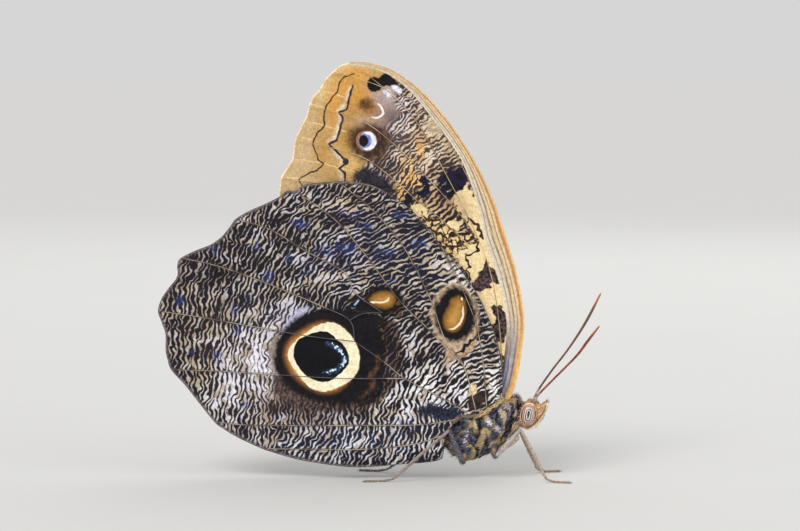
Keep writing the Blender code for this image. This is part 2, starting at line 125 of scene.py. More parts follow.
# Forewing, as places (x, z). Each vein runs from its root to its tip on the margin.
FOREWING_LEADING_EDGE = row("""
    25.4,14.2 27.4,19.6 28.6,27 28.8,32.6 27.6,40 25.4,47.6 22.6,55.8 18.8,63.6 13.6,71.4 8.2,77.4 3,81.2
    -1.8,82.9 -5.6,83.2
""")
FOREWING_VEINS = named("""
    subcosta 25,15.6 26.2,27 25.6,38 22,50 16.6,62 11,72 8.2,77.4
    radius 24.4,15.4 24.2,27 22.6,39 19.6,48 13.6,60 6,73 -5.6,83.2
    radius_5 6,73 0.6,78 -9.4,81.2
    media_1 19.6,48 15,54 9,60.6 3,66.6 -4,71.6 -14.2,74.4
    media_2 17.4,47 12,52 8,55 1,61.2 -5,64.8 -17,67.6
    media_3 14.6,43 8,50 -2,57 -19.8,60
    cubitus 23.6,15.4 21,27 17.6,37 14.6,43 17.4,47 19.6,48
    cubitus_1 16.4,40 4,46 -20.6,52.4
    cubitus_2 19.2,32.6 2,40 -19.6,44.6
    anal 22.6,15.4 12,24 -2,32.6 -16.8,39
""")
FOREWING_MARGIN = row("""
    -8,82.4 radius_5 -11,79.6 -12,77.8 -13.4,76.1 media_1 -14.6,72.6 -15.2,71.4 -16.2,69.4 media_2
    -17.2,66 -17.4,64.6 -17.6,63.6 -18.6,62 media_3 -20.1,58 -20.3,55.6 cubitus_1 cubitus_2 anal
""")
FOREWING_INNER_EDGE = row("-12,35.4 -2,30 10,22.4 18,16.2 22,12.4")

# Hindwing, in the same way. Its inner edge wraps the abdomen.
HINDWING_LEADING_EDGE = row("""
    24.4,15.4 24.6,20 23.4,27.6 20.6,34.8 17.2,40.4 12,47 6,54 0,58 -4.4,59.2 -8.4,59.4
""")
HINDWING_VEINS = named("""
    subcosta 21.4,14.4 20.6,24 19,31.6 16,39 12,47
    radial_sector 19.2,14 16.8,22.6 13,28 10,36.2 4.6,46.6 -1.6,53.8 -8.4,59.4
    media_1 16.8,22.6 10,29.6 4,35.6 -3.2,45.2 -9,51.8 -16.8,57.4
    media_2 0.4,33.2 -5,37.2 -7,41.2 -15,45.6 -22,49.8 -28.8,51.8
    media_3 -5,27.4 -6,31.6 -12,34.6 -23.6,39.4 -33,42.6 -39.8,44
    cubitus 17.4,13.4 12,16.4 5,20 1,23.2 -5,27.4
    cubitus_1 -5,27.4 -14,28.4 -27,30.6 -36,32.2 -44.4,33.4
    cubitus_2 5,20 -8,20 -23,20.8 -33,21.4 -41.8,21.6
    anal_2 15.6,12 8,10.8 -4,10.6 -25,10.5 -33.2,11.2
    anal_3 13.2,9 6,6.8 -6,5.8 -23.6,5.8
    cell_end -6,31.6 -3.6,32.9 0.4,33.2
""")
HINDWING_MARGIN = row("""
    -12,59.1 -15.2,58.6 media_1 -18.4,57.5 -20,56.3 -23.4,54.6 -26.4,53.3 media_2 -30,50.2 -31.7,48.2
    -34,46.6 -37,45.4 media_3 -40.5,42.6 -40.4,41 -40.8,39.8 -42.3,37.9 -43.7,35.8 cubitus_1 -43.7,31.2
    -42.9,28.8 -42.9,25.6 -42.5,23.6 cubitus_2 -39,18.5 -36.7,15.6 anal_2 -31.4,9.8 -28.4,8 anal_3
    -19,4.3
""")
HINDWING_INNER_EDGE = row("""
    -14,3.2 -5,2.2 4,2.8 11.6,3.6 12.8,5.4 13.2,8.2 14.6,10.8 17.2,12.4 20.4,12.6 22.8,13.6 24.4,15.4
""")

# Ground of the hindwing: the dark and the pale stripes, each as a colour as seen, 0 to 255, with washes of
# other colours over it (centre, reach, colour), and blue patches (centre, reach)
HINDWING_DARK = (30, 26, 34)
HINDWING_DARK_WASHES = rows("""
    -33,27.6 4,9 42,33,36; -26,54.6 3.4,3.4 35,30,40; -22,14.6 6,4 45,33,33; -16,11.6 6,2 42,32,33;
    -24.4,22.6 6,8 62,58,67; -18,32 3.6,2.6 66,63,77; -7,7.2 16,3.4 32,35,58; -10,43.2 6,3.6 34,32,50;
    -33,42 5,5 26,22,28; 12,13.2 6,2.2 20,22,44; 10,18.6 5,4 17,16,25; 8,42.6 6,6 28,29,50; -4,48.6 7,5
    32,31,52; 4,26.6 4,5 32,24,30
""")
HINDWING_PALE = (200, 190, 180)
HINDWING_PALE_WASHES = rows("""
    -30,47.6 5,5 196,180,168; -36,41.6 4,6 184,164,150; -33,42 5,5 168,158,154; -24.4,22.6 6.4,8
    234,231,238; -31,17.2 5,4.6 232,230,238; -10,43.2 6,3.6 206,200,210; -18,32.8 4.4,2.8 212,208,226;
    -38,29.6 3.4,5 184,170,154; -35,21.6 3,5 206,194,176; -21,14 4,3 160,132,110; -14,11.6 6,2.4
    142,122,112; -8,7.2 16,3.6 214,214,222; 10,6 12,4 228,228,232; 12,18 10,5 244,242,242; 22,20.6 4,6
    240,236,232; 7,15.6 6,3.6 232,232,232; 6,26.6 1.8,4 224,226,232; 3,24.6 2.4,4.6 146,124,116; 10,43.6
    6,7 206,192,168; 15.2,43.6 3.2,8 240,232,228; -10,39.6 8,3.4 206,198,190; -6,54.6 6,3 200,176,150;
    -16,57.6 6,1.2 200,192,196
""")
HINDWING_BLUES = rows("""
    -10,45.6 4.2,1.6; -6,46.4 2,1.4; 1,44.8 2.4,2; 7.6,47.2 3,1.6; -22.4,40.6 1.8,1.8; -17.8,43.4 2,1.2;
    -15,50.6 2,1.4; -16.8,51.2 1.4,1.4; -7,53 3,1; -2.4,50.4 2.6,1.4; -24.4,46 1.4,2; -29.6,33.8 1.7,1.8;
    -26,35.6 1.6,1.2; -28.4,29.6 1.4,1.4; -32.6,24.4 2.2,1.6; 2,39.6 2.2,0.8; 4,52.6 2.6,1; -14,41.6
    1.4,2; 12,13 5,1.6; 4,10.8 4,1.6; -40,35.6 1.4,1.4; -33,45.6 1.6,1.2; -27,14.6 0.9,1.4; -37.6,25.2
    0.8,1.8
""")
# The stripes' spacing and pale share, the places with their own (centre, reach, spacing, share), and those
# where the stripes are turned (centre, reach, degrees)
HINDWING_RIPPLE = (0.92, 0.32)
HINDWING_RIPPLES = rows("""
    -24.4,22.6 7,8.5 0.84 0.68; -31,17.2 5,4.6 0.89 0.62; -33,42 5,5 0.98 0.24; -18,32.8 4.4,2.8 0.82
    0.56; 10,43.2 6,9 1.16 0.34; 15.4,43.6 3.2,8 1.1 0.8; -8,7.6 22,4.6 0.93 0.42; 12,18.6 7,4.6 1.02
    0.5; 22,18.6 4,6 0.85 0.5; 7,15.6 6,3.6 1 0.6; 6,26.6 1.8,3.6 1.07 0.62; -36.4,26.6 3.4,9 1.02 0.36;
    -20,14 6,3.6 0.78 0.42; 3,24.6 2.4,5 0.93 0.24; -10,39.2 7,2.6 0.89 0.46; -15,56.6 9,2 0.89 0.46;
    -0.4,51.2 8,6 0.88 0.3
""")
HINDWING_TURNS = rows("-1,50.6 12,9 -20")
# Soft pale and brown haloes beside the great eyespot
LILAC_HALO = row("""
    -19.8,28 -19.2,30.2 -17.8,32.2 -16,33.8 -14.4,34.2 -15,33 -16.8,31.6 -18.2,29.6 -19.2,27.4
""")
GREY_HALO = row("""
    -21.8,27.4 -20.6,28.6 -19.6,27.6 -19.8,25.2 -19.8,22.4 -19.2,20.4 -20.4,19.8 -21.6,21.4 -22.2,24.4
""")
BROWN_HALO = row("""
    -21.2,20.8 -18.8,20 -16,18 -12.8,16.8 -9.2,16.6 -5.6,17.2 -2.4,18.8 0,17.2 -0.4,15 -5.2,13.4 -11.6,13
    -16,13.4 -19.2,14.8 -21.4,17.4
""")
# Outlines of the great eyespot's rings, from outside in, and the dots in it
EYESPOT_BLACK = row("""
    -20.8,24.4 -20.4,26.8 -19.1,29.3 -17.2,31.2 -14.8,32.7 -12.4,33.6 -9.6,33.8 -6.8,33.4 -4.4,32.2
    -2.8,29.6 -1.6,25.6 -1.4,21.6 -2.4,18.4 -4.4,16.4 -7,15.5 -10,15.3 -12.8,15.8 -15.4,16.7 -18,18.3
    -19.8,20.4 -20.6,22.4
""")
EYESPOT_BROWN = row("""
    -19.9,24.8 -19.3,27 -18,28.7 -16,30.2 -13.7,31.5 -11.5,32 -8.9,31.6 -6.9,30.5 -5.8,29.2 -4.7,27.4
    -3.9,25.6 -3.7,23.2 -4.3,21 -5.4,19.3 -6.9,17.6 -8.9,16.5 -11.5,16.3 -14.1,17.2 -16.5,18.7 -18.2,20.4
    -19.3,22.4
""")
EYESPOT_CREAM = row("""
    -14.5,29.2 -12.6,30.5 -10.4,31.2 -8.6,30.9 -6.7,29.6 -5.2,27.8 -4.3,25.9 -4,23.5 -4.5,21.3 -5.8,19.6
    -7.6,18.5 -9.7,17.6 -11.7,17.3 -13.9,18.1 -15.4,19.6 -16.9,21.5 -18,23.3 -18.4,24.8 -18,26.1
    -16.9,27.4 -15.6,28.5
""")
EYESPOT_PUPIL = row("""
    -15,28.3 -13.4,29.1 -11.2,29.4 -10,29.1 -8.6,27.8 -7.3,26.8 -6.5,25.4 -6.1,23.7 -6.5,22.4 -7.8,21.1
    -9.3,19.8 -11,19.2 -13,19.6 -14.9,20.7 -16.2,22.2 -17,23.7 -17.3,25 -16.9,26.6 -16.2,27.8
""")
EYESPOT_GLINT = row("""
    -10.5,27 -9.6,26.7 -8.6,26.1 -7.7,25.3 -7.1,24.1 -7.2,23.2 -7.8,22.4 -8.8,21.7 -9.9,21.3 -11.4,21.2
""")
GLINT_DOTS = 34
GLINT_SPREAD = 0.16
GLINT_SIZES = (0.10, 0.27)
# Dark and ochre markings round the eyespot, in front of it and at the wing's root
BLACK_ZONES = rows("""
    -7,33.2 -4.8,34 -1.6,33.2 1.2,32 2.4,29.6 2.4,26.8 1.2,24.4 0.8,21.6 1.2,18.8 -0.4,16 -2.8,15 -5.6,15
    -8,15.6; -6,35.6 -4.4,36.4 -2.8,35.6 -2.2,37.6 -0.4,38.6 2,38.6 4,37.4 4.8,35.6 4.4,33.2 2.8,32.4
    0.4,32.6 -2.4,32.8 -4.8,33.2
""")
BROWN_ZONES = rows("""
    -0.8,31.2 1.6,32 3.6,30.8 4,28.4 3.2,25.6 1.6,23.6 0.8,26.4 0.4,29.2; 0.4,23.2 2.4,24 4,22.8 3.6,20
    2,17.2 -0.8,15.2 -2.8,14.8 -1.2,16.8 0.4,18.8 0.8,21.2; 3.2,35.6 5.2,36 5.6,34 4.4,32 2.8,32.4
""")
BROWN_ARC = row("-0.4,24.4 -0.4,22.4 -1.8,20.6 -1.2,19.6 -2,17.6 -4,16")
BLACK_ARC = row("0.8,24 0.4,21.6 0,19.6 0.4,18 -1.6,15.6 -4.4,14.4")
OCHRE_SPOTS = rows("""
    -2.5,35.9 -1.2,37.2 0.9,37.7 2.7,37.4 3.5,35.9 2.7,34.2 1.2,33.7 -0.4,34 -2.1,35; 15.9,36.9 17.2,35.8
    17.5,33.7 17.1,31.4 16,29.6 14.5,29 13,29.7 12.4,31.4 12.8,33.3 13.7,34.9 14.1,36.2
""")
FRONT_SPOT_BLACK = row("""
    15,38.2 16.4,37.8 17.7,36.4 18.7,34.3 18.9,32 18.4,30 17.1,28.4 15,27.7 13.2,28.1 11.8,30 11.1,32.5
    11.3,34.6 12.7,36.4 13.8,37.8
""")
FRONT_SPOT_TAN = row("""
    15.4,39.2 17,38.4 18.6,36.6 19.6,34 19.8,31.2 19.2,28.8 18,26.6 16,25.2 14,25.6 12.4,27.2 11,29.6
    10.2,32.4 10.4,35 11.8,37.2 13.6,38.8
""")
OCHRE_GLINTS = rows("""
    -1.9,35.3 0.1,35.2 1.2,35.3; 0.8,35.3 1.6,35.6 2,36.1; 16.4,36.2 16.5,35.7; 16.6,34.6 16.6,32.5
    15.9,30.9 14.8,30 13.8,29.9
""")
BLUE_GLINTS = rows("-5.1,34.6 -4.6,35.1 -4.2,35.7")
FRONT_SPOT_LINE = row("19.4,28.8 17.7,27 16.4,25.6 15,24.9")
TAN_BELOW_FRONT_SPOT = row("13.2,26.4 15.2,25.2 17.2,26 19.2,28 19,26.4 17.2,24.8 15.2,23.8 13.4,24.2")
BASE_BLACK = row("17.6,15.6 19.2,17.4 21.5,17.6 22.2,17 21.6,15.8 20.2,14.5 19,13.8 17.8,14.4")
BASE_BLUE = row("10,15.2 13.2,14.4 16,14 16.8,12.8 15.6,11.8 13.2,11.6 10,12.4 7.2,13.4")
KNOB = row("18.6,17.9 0.7 1.15")

# Ground of the forewing, in the same way
FOREWING_DARK = (60, 48, 48)
FOREWING_DARK_WASHES = rows("""
    10,59.6 3,2.4 26,21,30; 3,66.6 5,6 88,76,80; 9,66.6 4,5 84,66,58; 12,50.6 5,5 29,22,25; 6,48.6 5,4
    50,35,28; -4.4,61.2 2.6,2.6 26,29,49; 1,63.6 4,4 52,46,52
""")
FOREWING_PALE = (208, 190, 166)
FOREWING_PALE_WASHES = rows("""
    1,65.6 5,6 196,186,184; 8.4,67.2 3.6,5.6 238,216,180; 12,54.6 5,4 188,152,112; 10,48.6 5,5
    240,212,160; 5,61.6 3.4,4 222,184,136; 4.4,73.6 3,3 220,212,220
""")
FOREWING_BLUES = rows("10,60 2.4,1.4; -4.8,62 1.6,2; 16,60 1.6,2; 13.2,58.8 1.6,1.2")
FOREWING_RIPPLE = (0.86, 0.42)
FOREWING_RIPPLES = rows("""
    -1,57.6 4,4 0.95 0.3; 1.6,63.2 3.6,4.4 0.8 0.32; 12,54.6 5,4 1.05 0.46; 15.4,60.4 2,2.4 1.2 0.24;
    8.4,67.2 3,5.4 0.86 0.66; 2,65.6 4,5 0.76 0.36; 4,73.6 3,4 0.8 0.44
""")
# The ochre zone at the apex, with its lines, creases and spots
APEX_ZONE = row("""
    -10,85.6 -5.6,85.6 -1.6,85.2 2.4,81.2 3.8,78.8 3.2,76.6 3,74.8 4,72.8 2.6,71 0.8,69.8 1.8,67.2
    0.2,64.6 -2.6,63.6 -3.8,62 -5.2,61.2 -5.6,59.2 -7,55.6 -22,53.6 -23.6,65.6 -16,79.6
""")
APEX_COLOUR = (192, 154, 96)
APEX_WASHES = rows("""
    -15,65.6 3.4,12 206,176,132; -11.6,78 3,3 220,192,142; -18,58.6 4,5 206,176,132; -7,82.8 6,1.6
    232,204,148; -4.6,80.4 2.6,2 216,156,72; -9.4,74.8 1.4,4.6 216,156,74; -7,77.2 1.6,2.4 218,156,72;
    -11.6,65.6 2,4 190,148,84; -5.2,72 2,4.6 186,140,70; -5.6,67.6 2,3.4 178,132,60; 1.2,74 3,4.4
    176,150,138; 0,70.8 3.6,2.2 168,138,128; -1.8,73.6 1.6,1.3 166,112,52; 2.8,71.2 2.6,3.6 104,92,96;
    -4,76.4 1.8,1.8 206,146,62; 2,76.4 3,2 178,160,160; -5.6,62.4 1.8,2.2 216,178,112; -2.8,71.2 3,1
    188,158,128
""")
LINE_OUTER = row("""
    -5.1,80.8 -7.1,80.1 -8.1,78.9 -8.5,77.1 -9.2,76.4 -10.8,74.1 -11.2,71.8 -11,70.4 -12,69.5 -13.3,67.2
    -12.7,64.9 -12.1,63.3 -11.3,62.9 -12.4,61.7 -14.5,60.8 -16.1,59.7 -15.6,58.7 -15.4,57.6
""")
LINE_INNER = row("""
    -5.3,78.5 -6,76.4 -6.2,75.3 -6.7,73.7 -8.1,73.1 -7.4,72.1 -7.8,70.4 -8.3,68.6 -8.7,67.5 -10.1,66.8
    -8.7,65.4 -7.4,64 -6.5,63.3 -7.1,62.6 -8.1,61.9 -7.1,61 -7,60.1 -7,57.6
""")
LINE_BLOB = row("-6.8,63.2 0.55 0.7")
PALE_INSIDE_LINE = rows("""
    -5.8,78.2 -6.5,76.4 -6.7,75.4; -7.1,74.8 -7.8,73.8 -8.6,73.4; -8.3,72.6 -8.1,71.4 -8.6,69.4 -9.3,67.8
    -10.4,67.2; -9.6,66 -8.4,64.6 -7.5,63.6 -8,62.6; -8.3,61.4 -7.7,60.2 -7.7,58.8
""")
CREASES = rows("""
    -12,77.6 -8.6,76.6 -6.2,75.8; -14.8,71.2 -10.8,70.4 -8,69.6 -5,68.8; -17.4,63.8 -11.6,63 -8,62
    -5,61.2; -13.8,74.8 -11,74; -16.4,68.2 -13.4,67.6; -18.6,60 -16,60
""")
APEX_BLACK = rows("""
    -1,78.7 1.6 1.45; 0.2,79.1 1.1 1; 1.2,79.7 1.3 1.15; 2.1,79.2 1.15 0.9; 2.9,78.7 0.8 0.6
""")
APEX_WHITE = rows("2.4,78.3 3.2,77.9 4.2,77.1; 0.8,77.3 1.5,77.1 1.9,76.7 1.6,76.2")
BROWN_SPOT = row("-2.7,74.7 1.45 1.2")
APEX_CRESCENT = row("-0.5,74.8 0.4,74 0.6,72.9 -0.3,72.1 -1.7,72.1")
SMALL_EYE = (-2.7, 67.4)
SMALL_EYE_WHITE = row("-3,69.1 -2,68.9 -1.3,68 -1.2,66.8 -2,65.9 -3.1,65.8")
# Cream, orange and dark markings behind the leading strip
CELL_COLOUR = (240, 214, 164)
CELL_CREAM = rows("""
    14.4,57.2 16,58 17.6,58.2 20,54.4 22.4,49.2 24.4,43.2 26.4,35.6 27.2,29.6 26.8,24.8 23.6,25.2 22,28.4
    20.4,33.2 18.8,37.6 17.2,41.2 15.2,44 13.2,45.6 15.2,46.4 17.6,47 18.8,48.4 17.2,51.2 15.2,54.4;
    6.2,54.4 8.2,55 9.6,54 9.2,52.6 7.4,52.2; 13.2,50.8 14.6,51.6 16.6,51.2 16.2,50 14.6,49.6; 18.8,51
    19.4,51.4 19.9,50.4 19.4,49.5 18.8,50
""")
CELL_SHADES = rows("15.6,55.6 2,2 214,184,136; 16.6,52.8 1.6,2 198,170,130")
ORANGE_CREAM = rows("""
    4.8,62.4 6.2,62.6 6.8,61.2 8,60 8.8,58.4 8.2,57.2 7,58 5.6,58.8 4,59.2 4.8,60.4; 2.8,58.4 4.2,58.6
    5.2,57 5,55.6 3.6,55.8 2.8,57; 5.6,64.4 6.4,64 7,62.4 6.2,62 5.6,63.2; 6.8,67.6 8,67.2 8.8,65.2
    8,64.4 7.2,65.6
""")
FOREWING_BARS = rows("""
    11.2,59.6 12.8,60.8 14.4,62 16.2,62.4 17.4,61.2 17.2,58.8 16.2,57.6 14.8,56.4 13.2,56.4 11.6,57.6;
    7.8,60.6 8.8,60.2 9.8,59 10.2,57.4 9,56.2 7.4,56.6 6.8,57.4 8,57.6 8.4,58.8; 4.8,56.4 6,57.2 6.8,56
    5.6,54.4 4.6,54.8
""")
BAR_STREAKS = rows("""
    12,57.8 12.8,58.6 13.2,59.4; 11.4,58.8 12,59.4; 13.6,57.2 14.2,57.6; 6.8,57.2 7.8,57.6 8.8,58.4
""")
CELL_BLACKS = rows("""
    21.4,43.6 22.2,42.4 23.6,40.8 24,38.8 22.8,39.2 21.6,38 20,37.2 18.8,37.6 18.4,38.8 19.6,40.4
    20.4,42; 22,34.4 23.8,34.6 25.2,32.8 25.6,29.6 25,27.6 23.4,27.2 22,28 22.4,30.4 23.2,32
""")
CORNER_DARK = row("-5.8,62 -4,62.6 -2,62 0.4,60.8 2.8,58.4 3.6,56.8 0.8,57.2 -2.8,58.8 -5.6,59.6")
# The paler, dotted ground beside the leading strip
STRIP_SIDE = row("""
    6.2,75.4 8,74.2 10.4,71.8 12.8,68.6 14.8,65.4 16.2,62.6 15.2,62 13.4,64.6 11.2,67.4 8.8,70.6 6.8,73
""")
# Where cream cells lie in a dark net, the cells' size, the width of the net's threads, and single threads
# beside it, each with its half width first
NET_ZONE = row("""
    8.2,53 9.8,52.6 11.4,51.8 13.2,51 13.6,49.8 15.2,49.2 17.2,49.4 18.6,48.8 19.6,47.6 18,46.4 16.4,45.8
    14.4,44.8 12.8,45.4 11.6,47.2 10.4,49.4 9,51.2
""")
NET_CELL = 1.4
NET_THREAD = 0.15
RETICULATION = rows("""
    0.26 19.6,47.2 19.6,46 19.2,45.2 18,44.8 17,44.4; 0.22 17,44.4 17.4,43.2 18,42.4 17.2,41.6; 0.26
    13.2,46.4 15.2,46.4 16.8,47 18.4,48 19.6,47.6; 0.22 13.6,47.6 14.4,48.8 16,48.8 17.6,49.2; 0.3
    17.6,52 18.8,51.2 20,49.6 20.4,48; 0.22 17.6,52 17.2,50.4 18,48.8; 0.24 8.8,52.4 9.6,51.6 10.4,51.4
    11.6,51.6 12.4,50.4; 0.22 10,50.4 10.8,49.2 12.4,48.8 13.2,47.6; 0.2 12.2,50.4 13.2,51.2 14.4,52
    15.6,52; 0.22 16.4,42 17.6,41.2 18,39.6; 0.2 11.2,48 12.4,46.8 13.2,45.6
""")
# The strip along the forewing's leading edge: its width by place from root to tip, and its bands from the
# edge inwards, by share of its width, further out and next to the body
COSTA_WIDTH = row("0,3.2 0.2,3.5 0.43,4.3 0.55,3 0.64,2.1 0.75,2.2 0.88,1.2 1,0.6")
COSTA_BANDS = rows("""
    0 242,218,168; 0.05 234,192,128; 0.1 214,156,92; 0.16 184,132,84; 0.21 198,152,106; 0.26 226,200,154;
    0.33 228,206,164; 0.37 152,114,80; 0.41 214,188,148; 0.5 226,206,172; 0.55 178,150,118; 0.6
    138,110,88; 0.64 212,196,170; 0.74 226,214,192; 0.79 158,140,124; 0.84 214,202,184; 0.92 222,210,188;
    1 228,212,178
""")
COSTA_ROOT_BANDS = rows("""
    0 240,212,160; 0.07 234,186,116; 0.2 214,170,110; 0.34 198,152,102; 0.4 98,90,98; 0.48 152,148,160;
    0.6 178,174,186; 0.68 106,100,114; 0.78 152,148,162; 0.9 88,80,90; 1 62,54,62
""")


# Materials

COAT_ROUGHNESS = 0.08
MOTTLE_DETAIL = 3.0


def paint(colour):
    """Linear values from a colour as seen, 0 to 255."""
    seen = np.array(colour, float) / 255
    return np.where(seen <= 0.04045, seen / 12.92, ((seen + 0.055) / 1.055) ** 2.4)


class Finish:
    """A Principled material, with short calls for its nodes. Scales are in features per millimetre."""

    def __init__(self, name, roughness=0.6, sheen=0.0, specular=0.5, coat=0.0):
        self.material = bpy.data.materials.new(name)
        self.material.use_nodes = True
        self.tree = self.material.node_tree
        self.shader = self.tree.nodes["Principled BSDF"]
        self.place = self.node("TexCoord", {}).outputs["Object"]
        self.set("Roughness", roughness)
        self.set("Specular IOR Level", specular)
        self.set("Sheen Weight", sheen)
        self.set("Coat Weight", coat)
        self.set("Coat Roughness", COAT_ROUGHNESS)

    def feed(self, socket, value):
        if isinstance(value, bpy.types.NodeSocket):
            self.tree.links.new(value, socket)
        elif hasattr(value, "__len__") and len(value) == 3 and len(socket.default_value) == 4:
            socket.default_value = (*value, 1.0)
        else:
            socket.default_value = value

    def set(self, name, value):
        self.feed(self.shader.inputs[name], value)

    def node(self, kind, inputs, **settings):
        """A new node, with its inputs by number or by name."""
        made = self.tree.nodes.new("ShaderNode" + kind)
        for setting, value in settings.items():
            setattr(made, setting, value)
        for socket, value in inputs.items():
            self.feed(made.inputs[socket], value)
        return made

    def read(self, attribute, output="Fac"):
        return self.node("Attribute", {}, attribute_name=attribute).outputs[output]

    def maths(self, operation, *inputs):
        return self.node("Math", dict(enumerate(inputs)), operation=operation).outputs[0]

    def plus(self, base, value, amount):
        """The base and the value times the amount."""
        return self.maths("MULTIPLY_ADD", value, amount, base)

    def mix(self, amount, low, high, blend="MIX"):
        inputs = {0: amount, 6: low, 7: high}
        return self.node("Mix", inputs, data_type="RGBA", blend_type=blend).outputs[2]

    def noise(self, scale, detail=MOTTLE_DETAIL, place=None):
        inputs = {"Vector": place or self.place, "Scale": scale / MM, "Detail": detail}
        return self.node("TexNoise", inputs).outputs["Fac"]

    def sway(self, *measures):
        """Noise about 0."""
        return self.maths("SUBTRACT", self.noise(*measures), 0.5)

    def cells(self, scale, place=None):
        return self.node("TexVoronoi", {"Vector": place or self.place, "Scale": scale / MM}).outputs

    def stretched(self, scale, turn=(0.0, 0.0, 0.0)):
        return self.node("Mapping", {"Vector": self.place, "Scale": scale, "Rotation": turn}).outputs[0]

    def step(self, value, low, high, start=0.0, end=1.0):
        """Goes smoothly from start to end as the value goes from low to high."""
        inputs = dict(enumerate((value, low, high, start, end)))
        return self.node("MapRange", inputs, interpolation_type="SMOOTHSTEP").outputs[0]

    def over(self, colour, tint, *step):
        """A tint, from a node or as seen, laid over a colour by a share that steps as given."""
        tint = tint if isinstance(tint, bpy.types.NodeSocket) else paint(tint)
        return self.mix(self.step(*step), colour, tint)

    def mottle(self, first, second, scale, low=0.4, high=0.6):
        """Two colours as seen, in patches of one and the other."""
        return self.over(paint(first), second, self.noise(scale), low, high)

    def ramp(self, value, stops):
        made = self.node("ValToRGB", {0: value})
        bands = made.color_ramp.elements
        while len(bands) < len(stops):
            bands.new(1.0)
        for band, (place, colour) in zip(bands, stops):
            band.position = place
            band.color = (*paint(colour), 1.0)
        return made.outputs[0]

    def cover(self, colour, shade=None):
        """Sets the surface's colour, lighter and darker by the shade."""
        self.set("Base Color", colour if shade is None else self.mix(1.0, colour, shade, "MULTIPLY"))

    def bump(self, height, depth, strength):
        """Raises the surface by height times depth, in millimetres."""
        made = self.node("Bump", {"Height": height, "Strength": strength, "Distance": depth * MM})
        self.set("Normal", made.outputs[0])


# Meshes


def placed(name, data):
    """A new object of the scene."""
    made = bpy.data.objects.new(name, data)
    bpy.context.scene.collection.objects.link(made)
    return made


def new_mesh(name, points, groups, material):
    """An object from points in millimetres and groups of faces, each group with one count of corners."""
    mesh = bpy.data.meshes.new(name)
    points = np.asarray(points, float) * MM
    sizes = np.concatenate([np.full(len(group), group.shape[1]) for group in groups])
    mesh.vertices.add(len(points))
    mesh.vertices.foreach_set("co", points.ravel())
    mesh.loops.add(int(sizes.sum()))
    mesh.loops.foreach_set("vertex_index", np.concatenate([group.ravel() for group in groups]))
    mesh.polygons.add(len(sizes))
    mesh.polygons.foreach_set("loop_start", np.concatenate([[0], np.cumsum(sizes)[:-1]]))
    mesh.update(calc_edges=True)
    mesh.materials.append(material)
    mesh.polygons.foreach_set("use_smooth", np.ones(len(sizes), bool))
    return placed(name, mesh)


def store(piece, **fields):
    """Keeps numbers or colours for the points of the mesh, for its material to read."""
    for name, values in fields.items():
        values = np.asarray(values, np.float32)
        if values.ndim == 1:
            piece.data.attributes.new(name, "FLOAT", "POINT").data.foreach_set("value", values)
        else:
            filled = np.ones((len(values), 4), np.float32)
            filled[:, :3] = values
            colours = piece.data.attributes.new(name, "FLOAT_COLOR", "POINT").data
            colours.foreach_set("color", filled.ravel())


def bake_map(piece, corners):
    """The UV map named OFBake, from one (u, v) for each face corner."""
    layer = piece.data.uv_layers.new(name="OFBake")
    layer.data.foreach_set("uv", np.asarray(corners, np.float32).ravel())


def finish_piece(piece, slot, *nodes):
    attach(piece, "root")
    if nodes:
        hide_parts(*nodes)


def merged(parts):
    """Points and face groups of several parts as one."""
    points, groups, total = [], [], 0
    for spots, faces in parts:
        points.append(spots)
        groups += [group + total for group in faces]
        total += len(spots)
    return np.vstack(points), groups


def tube_faces(count, sides):
    """Faces of a closed tube through rings, whose two end points come last: its wall, then its ends."""
    ring = np.arange(sides)
    after = (ring + 1) % sides
    start = sides * np.arange(count - 1)[:, None]
    wall = np.stack([start + ring, start + sides + ring, start + sides + after, start + after], axis=-1)
    last = (count - 1) * sides
    ends = [
        np.stack([ring, after, np.full(sides, count * sides)], axis=1),
        np.stack([last + after, last + ring, np.full(sides, count * sides + 1)], axis=1),
    ]
    return [wall.reshape(-1, 4), np.concatenate(ends)]


def ribbon(path, up, wide, high, sides):
    """A closed tube along a path, of the given half width and half height at each point of it."""
    wide, high = (np.broadcast_to(measure, len(path))[:, None] for measure in (wide, high))
    tangent = np.gradient(path, axis=0)
    across = unit(np.cross(tangent, np.broadcast_to(up, path.shape)))
    upward = unit(np.cross(across, tangent))
    turns = math.tau * np.arange(sides) / sides
    rings = path[:, None] + across[:, None] * (wide * np.cos(turns))[..., None]
    rings = rings + upward[:, None] * (high * np.sin(turns))[..., None]
    return np.vstack([rings.reshape(-1, 3), path[:1], path[-1:]]), tube_faces(len(path), sides)


# Curves and outlines

NEAR_BATCH = 3000
# Waves: how their lengths spread about the given one, and what brings their sum to about 1
WAVE_SPREAD = (0.6, 1.4)
WAVE_HEIGHT = 1.6


def unit(vectors):
    return vectors / np.linalg.norm(vectors, axis=-1, keepdims=True)


def evenly(share, values):
    """The values, spread evenly over shares from 0 to 1, as read at a share."""
    return np.interp(share * (len(values) - 1), range(len(values)), values)


def raised(flat, heights):
    """Places in a wing's plane, moved out to the given heights."""
    return np.stack([flat[:, 0], heights, flat[:, 1]], axis=1)


def bell(away):
    """1 at 0, and next to nothing beyond 2."""
    return np.exp(-(away ** 2))


def fades(spots, centre, reach):
    """As bell, by each spot's distance from a centre in reaches along x and z."""
    return np.exp(-(((spots - centre) / reach) ** 2).sum(1))


def waves(spots, size, seed, count=18):
    """Smooth noise from -1 to 1 or so, whose features are about the given size."""
    draw = np.random.default_rng(seed)
    spots = np.asarray(spots, float)
    directions = draw.normal(size=(count, spots.shape[1]))
    lengths = np.linalg.norm(directions, axis=1)
    directions *= (math.pi / size / lengths * draw.uniform(*WAVE_SPREAD, count))[:, None]
    total = np.sin(spots @ directions.T + draw.uniform(0, math.tau, count)).sum(1)
    return total * math.sqrt(2 / count) / WAVE_HEIGHT


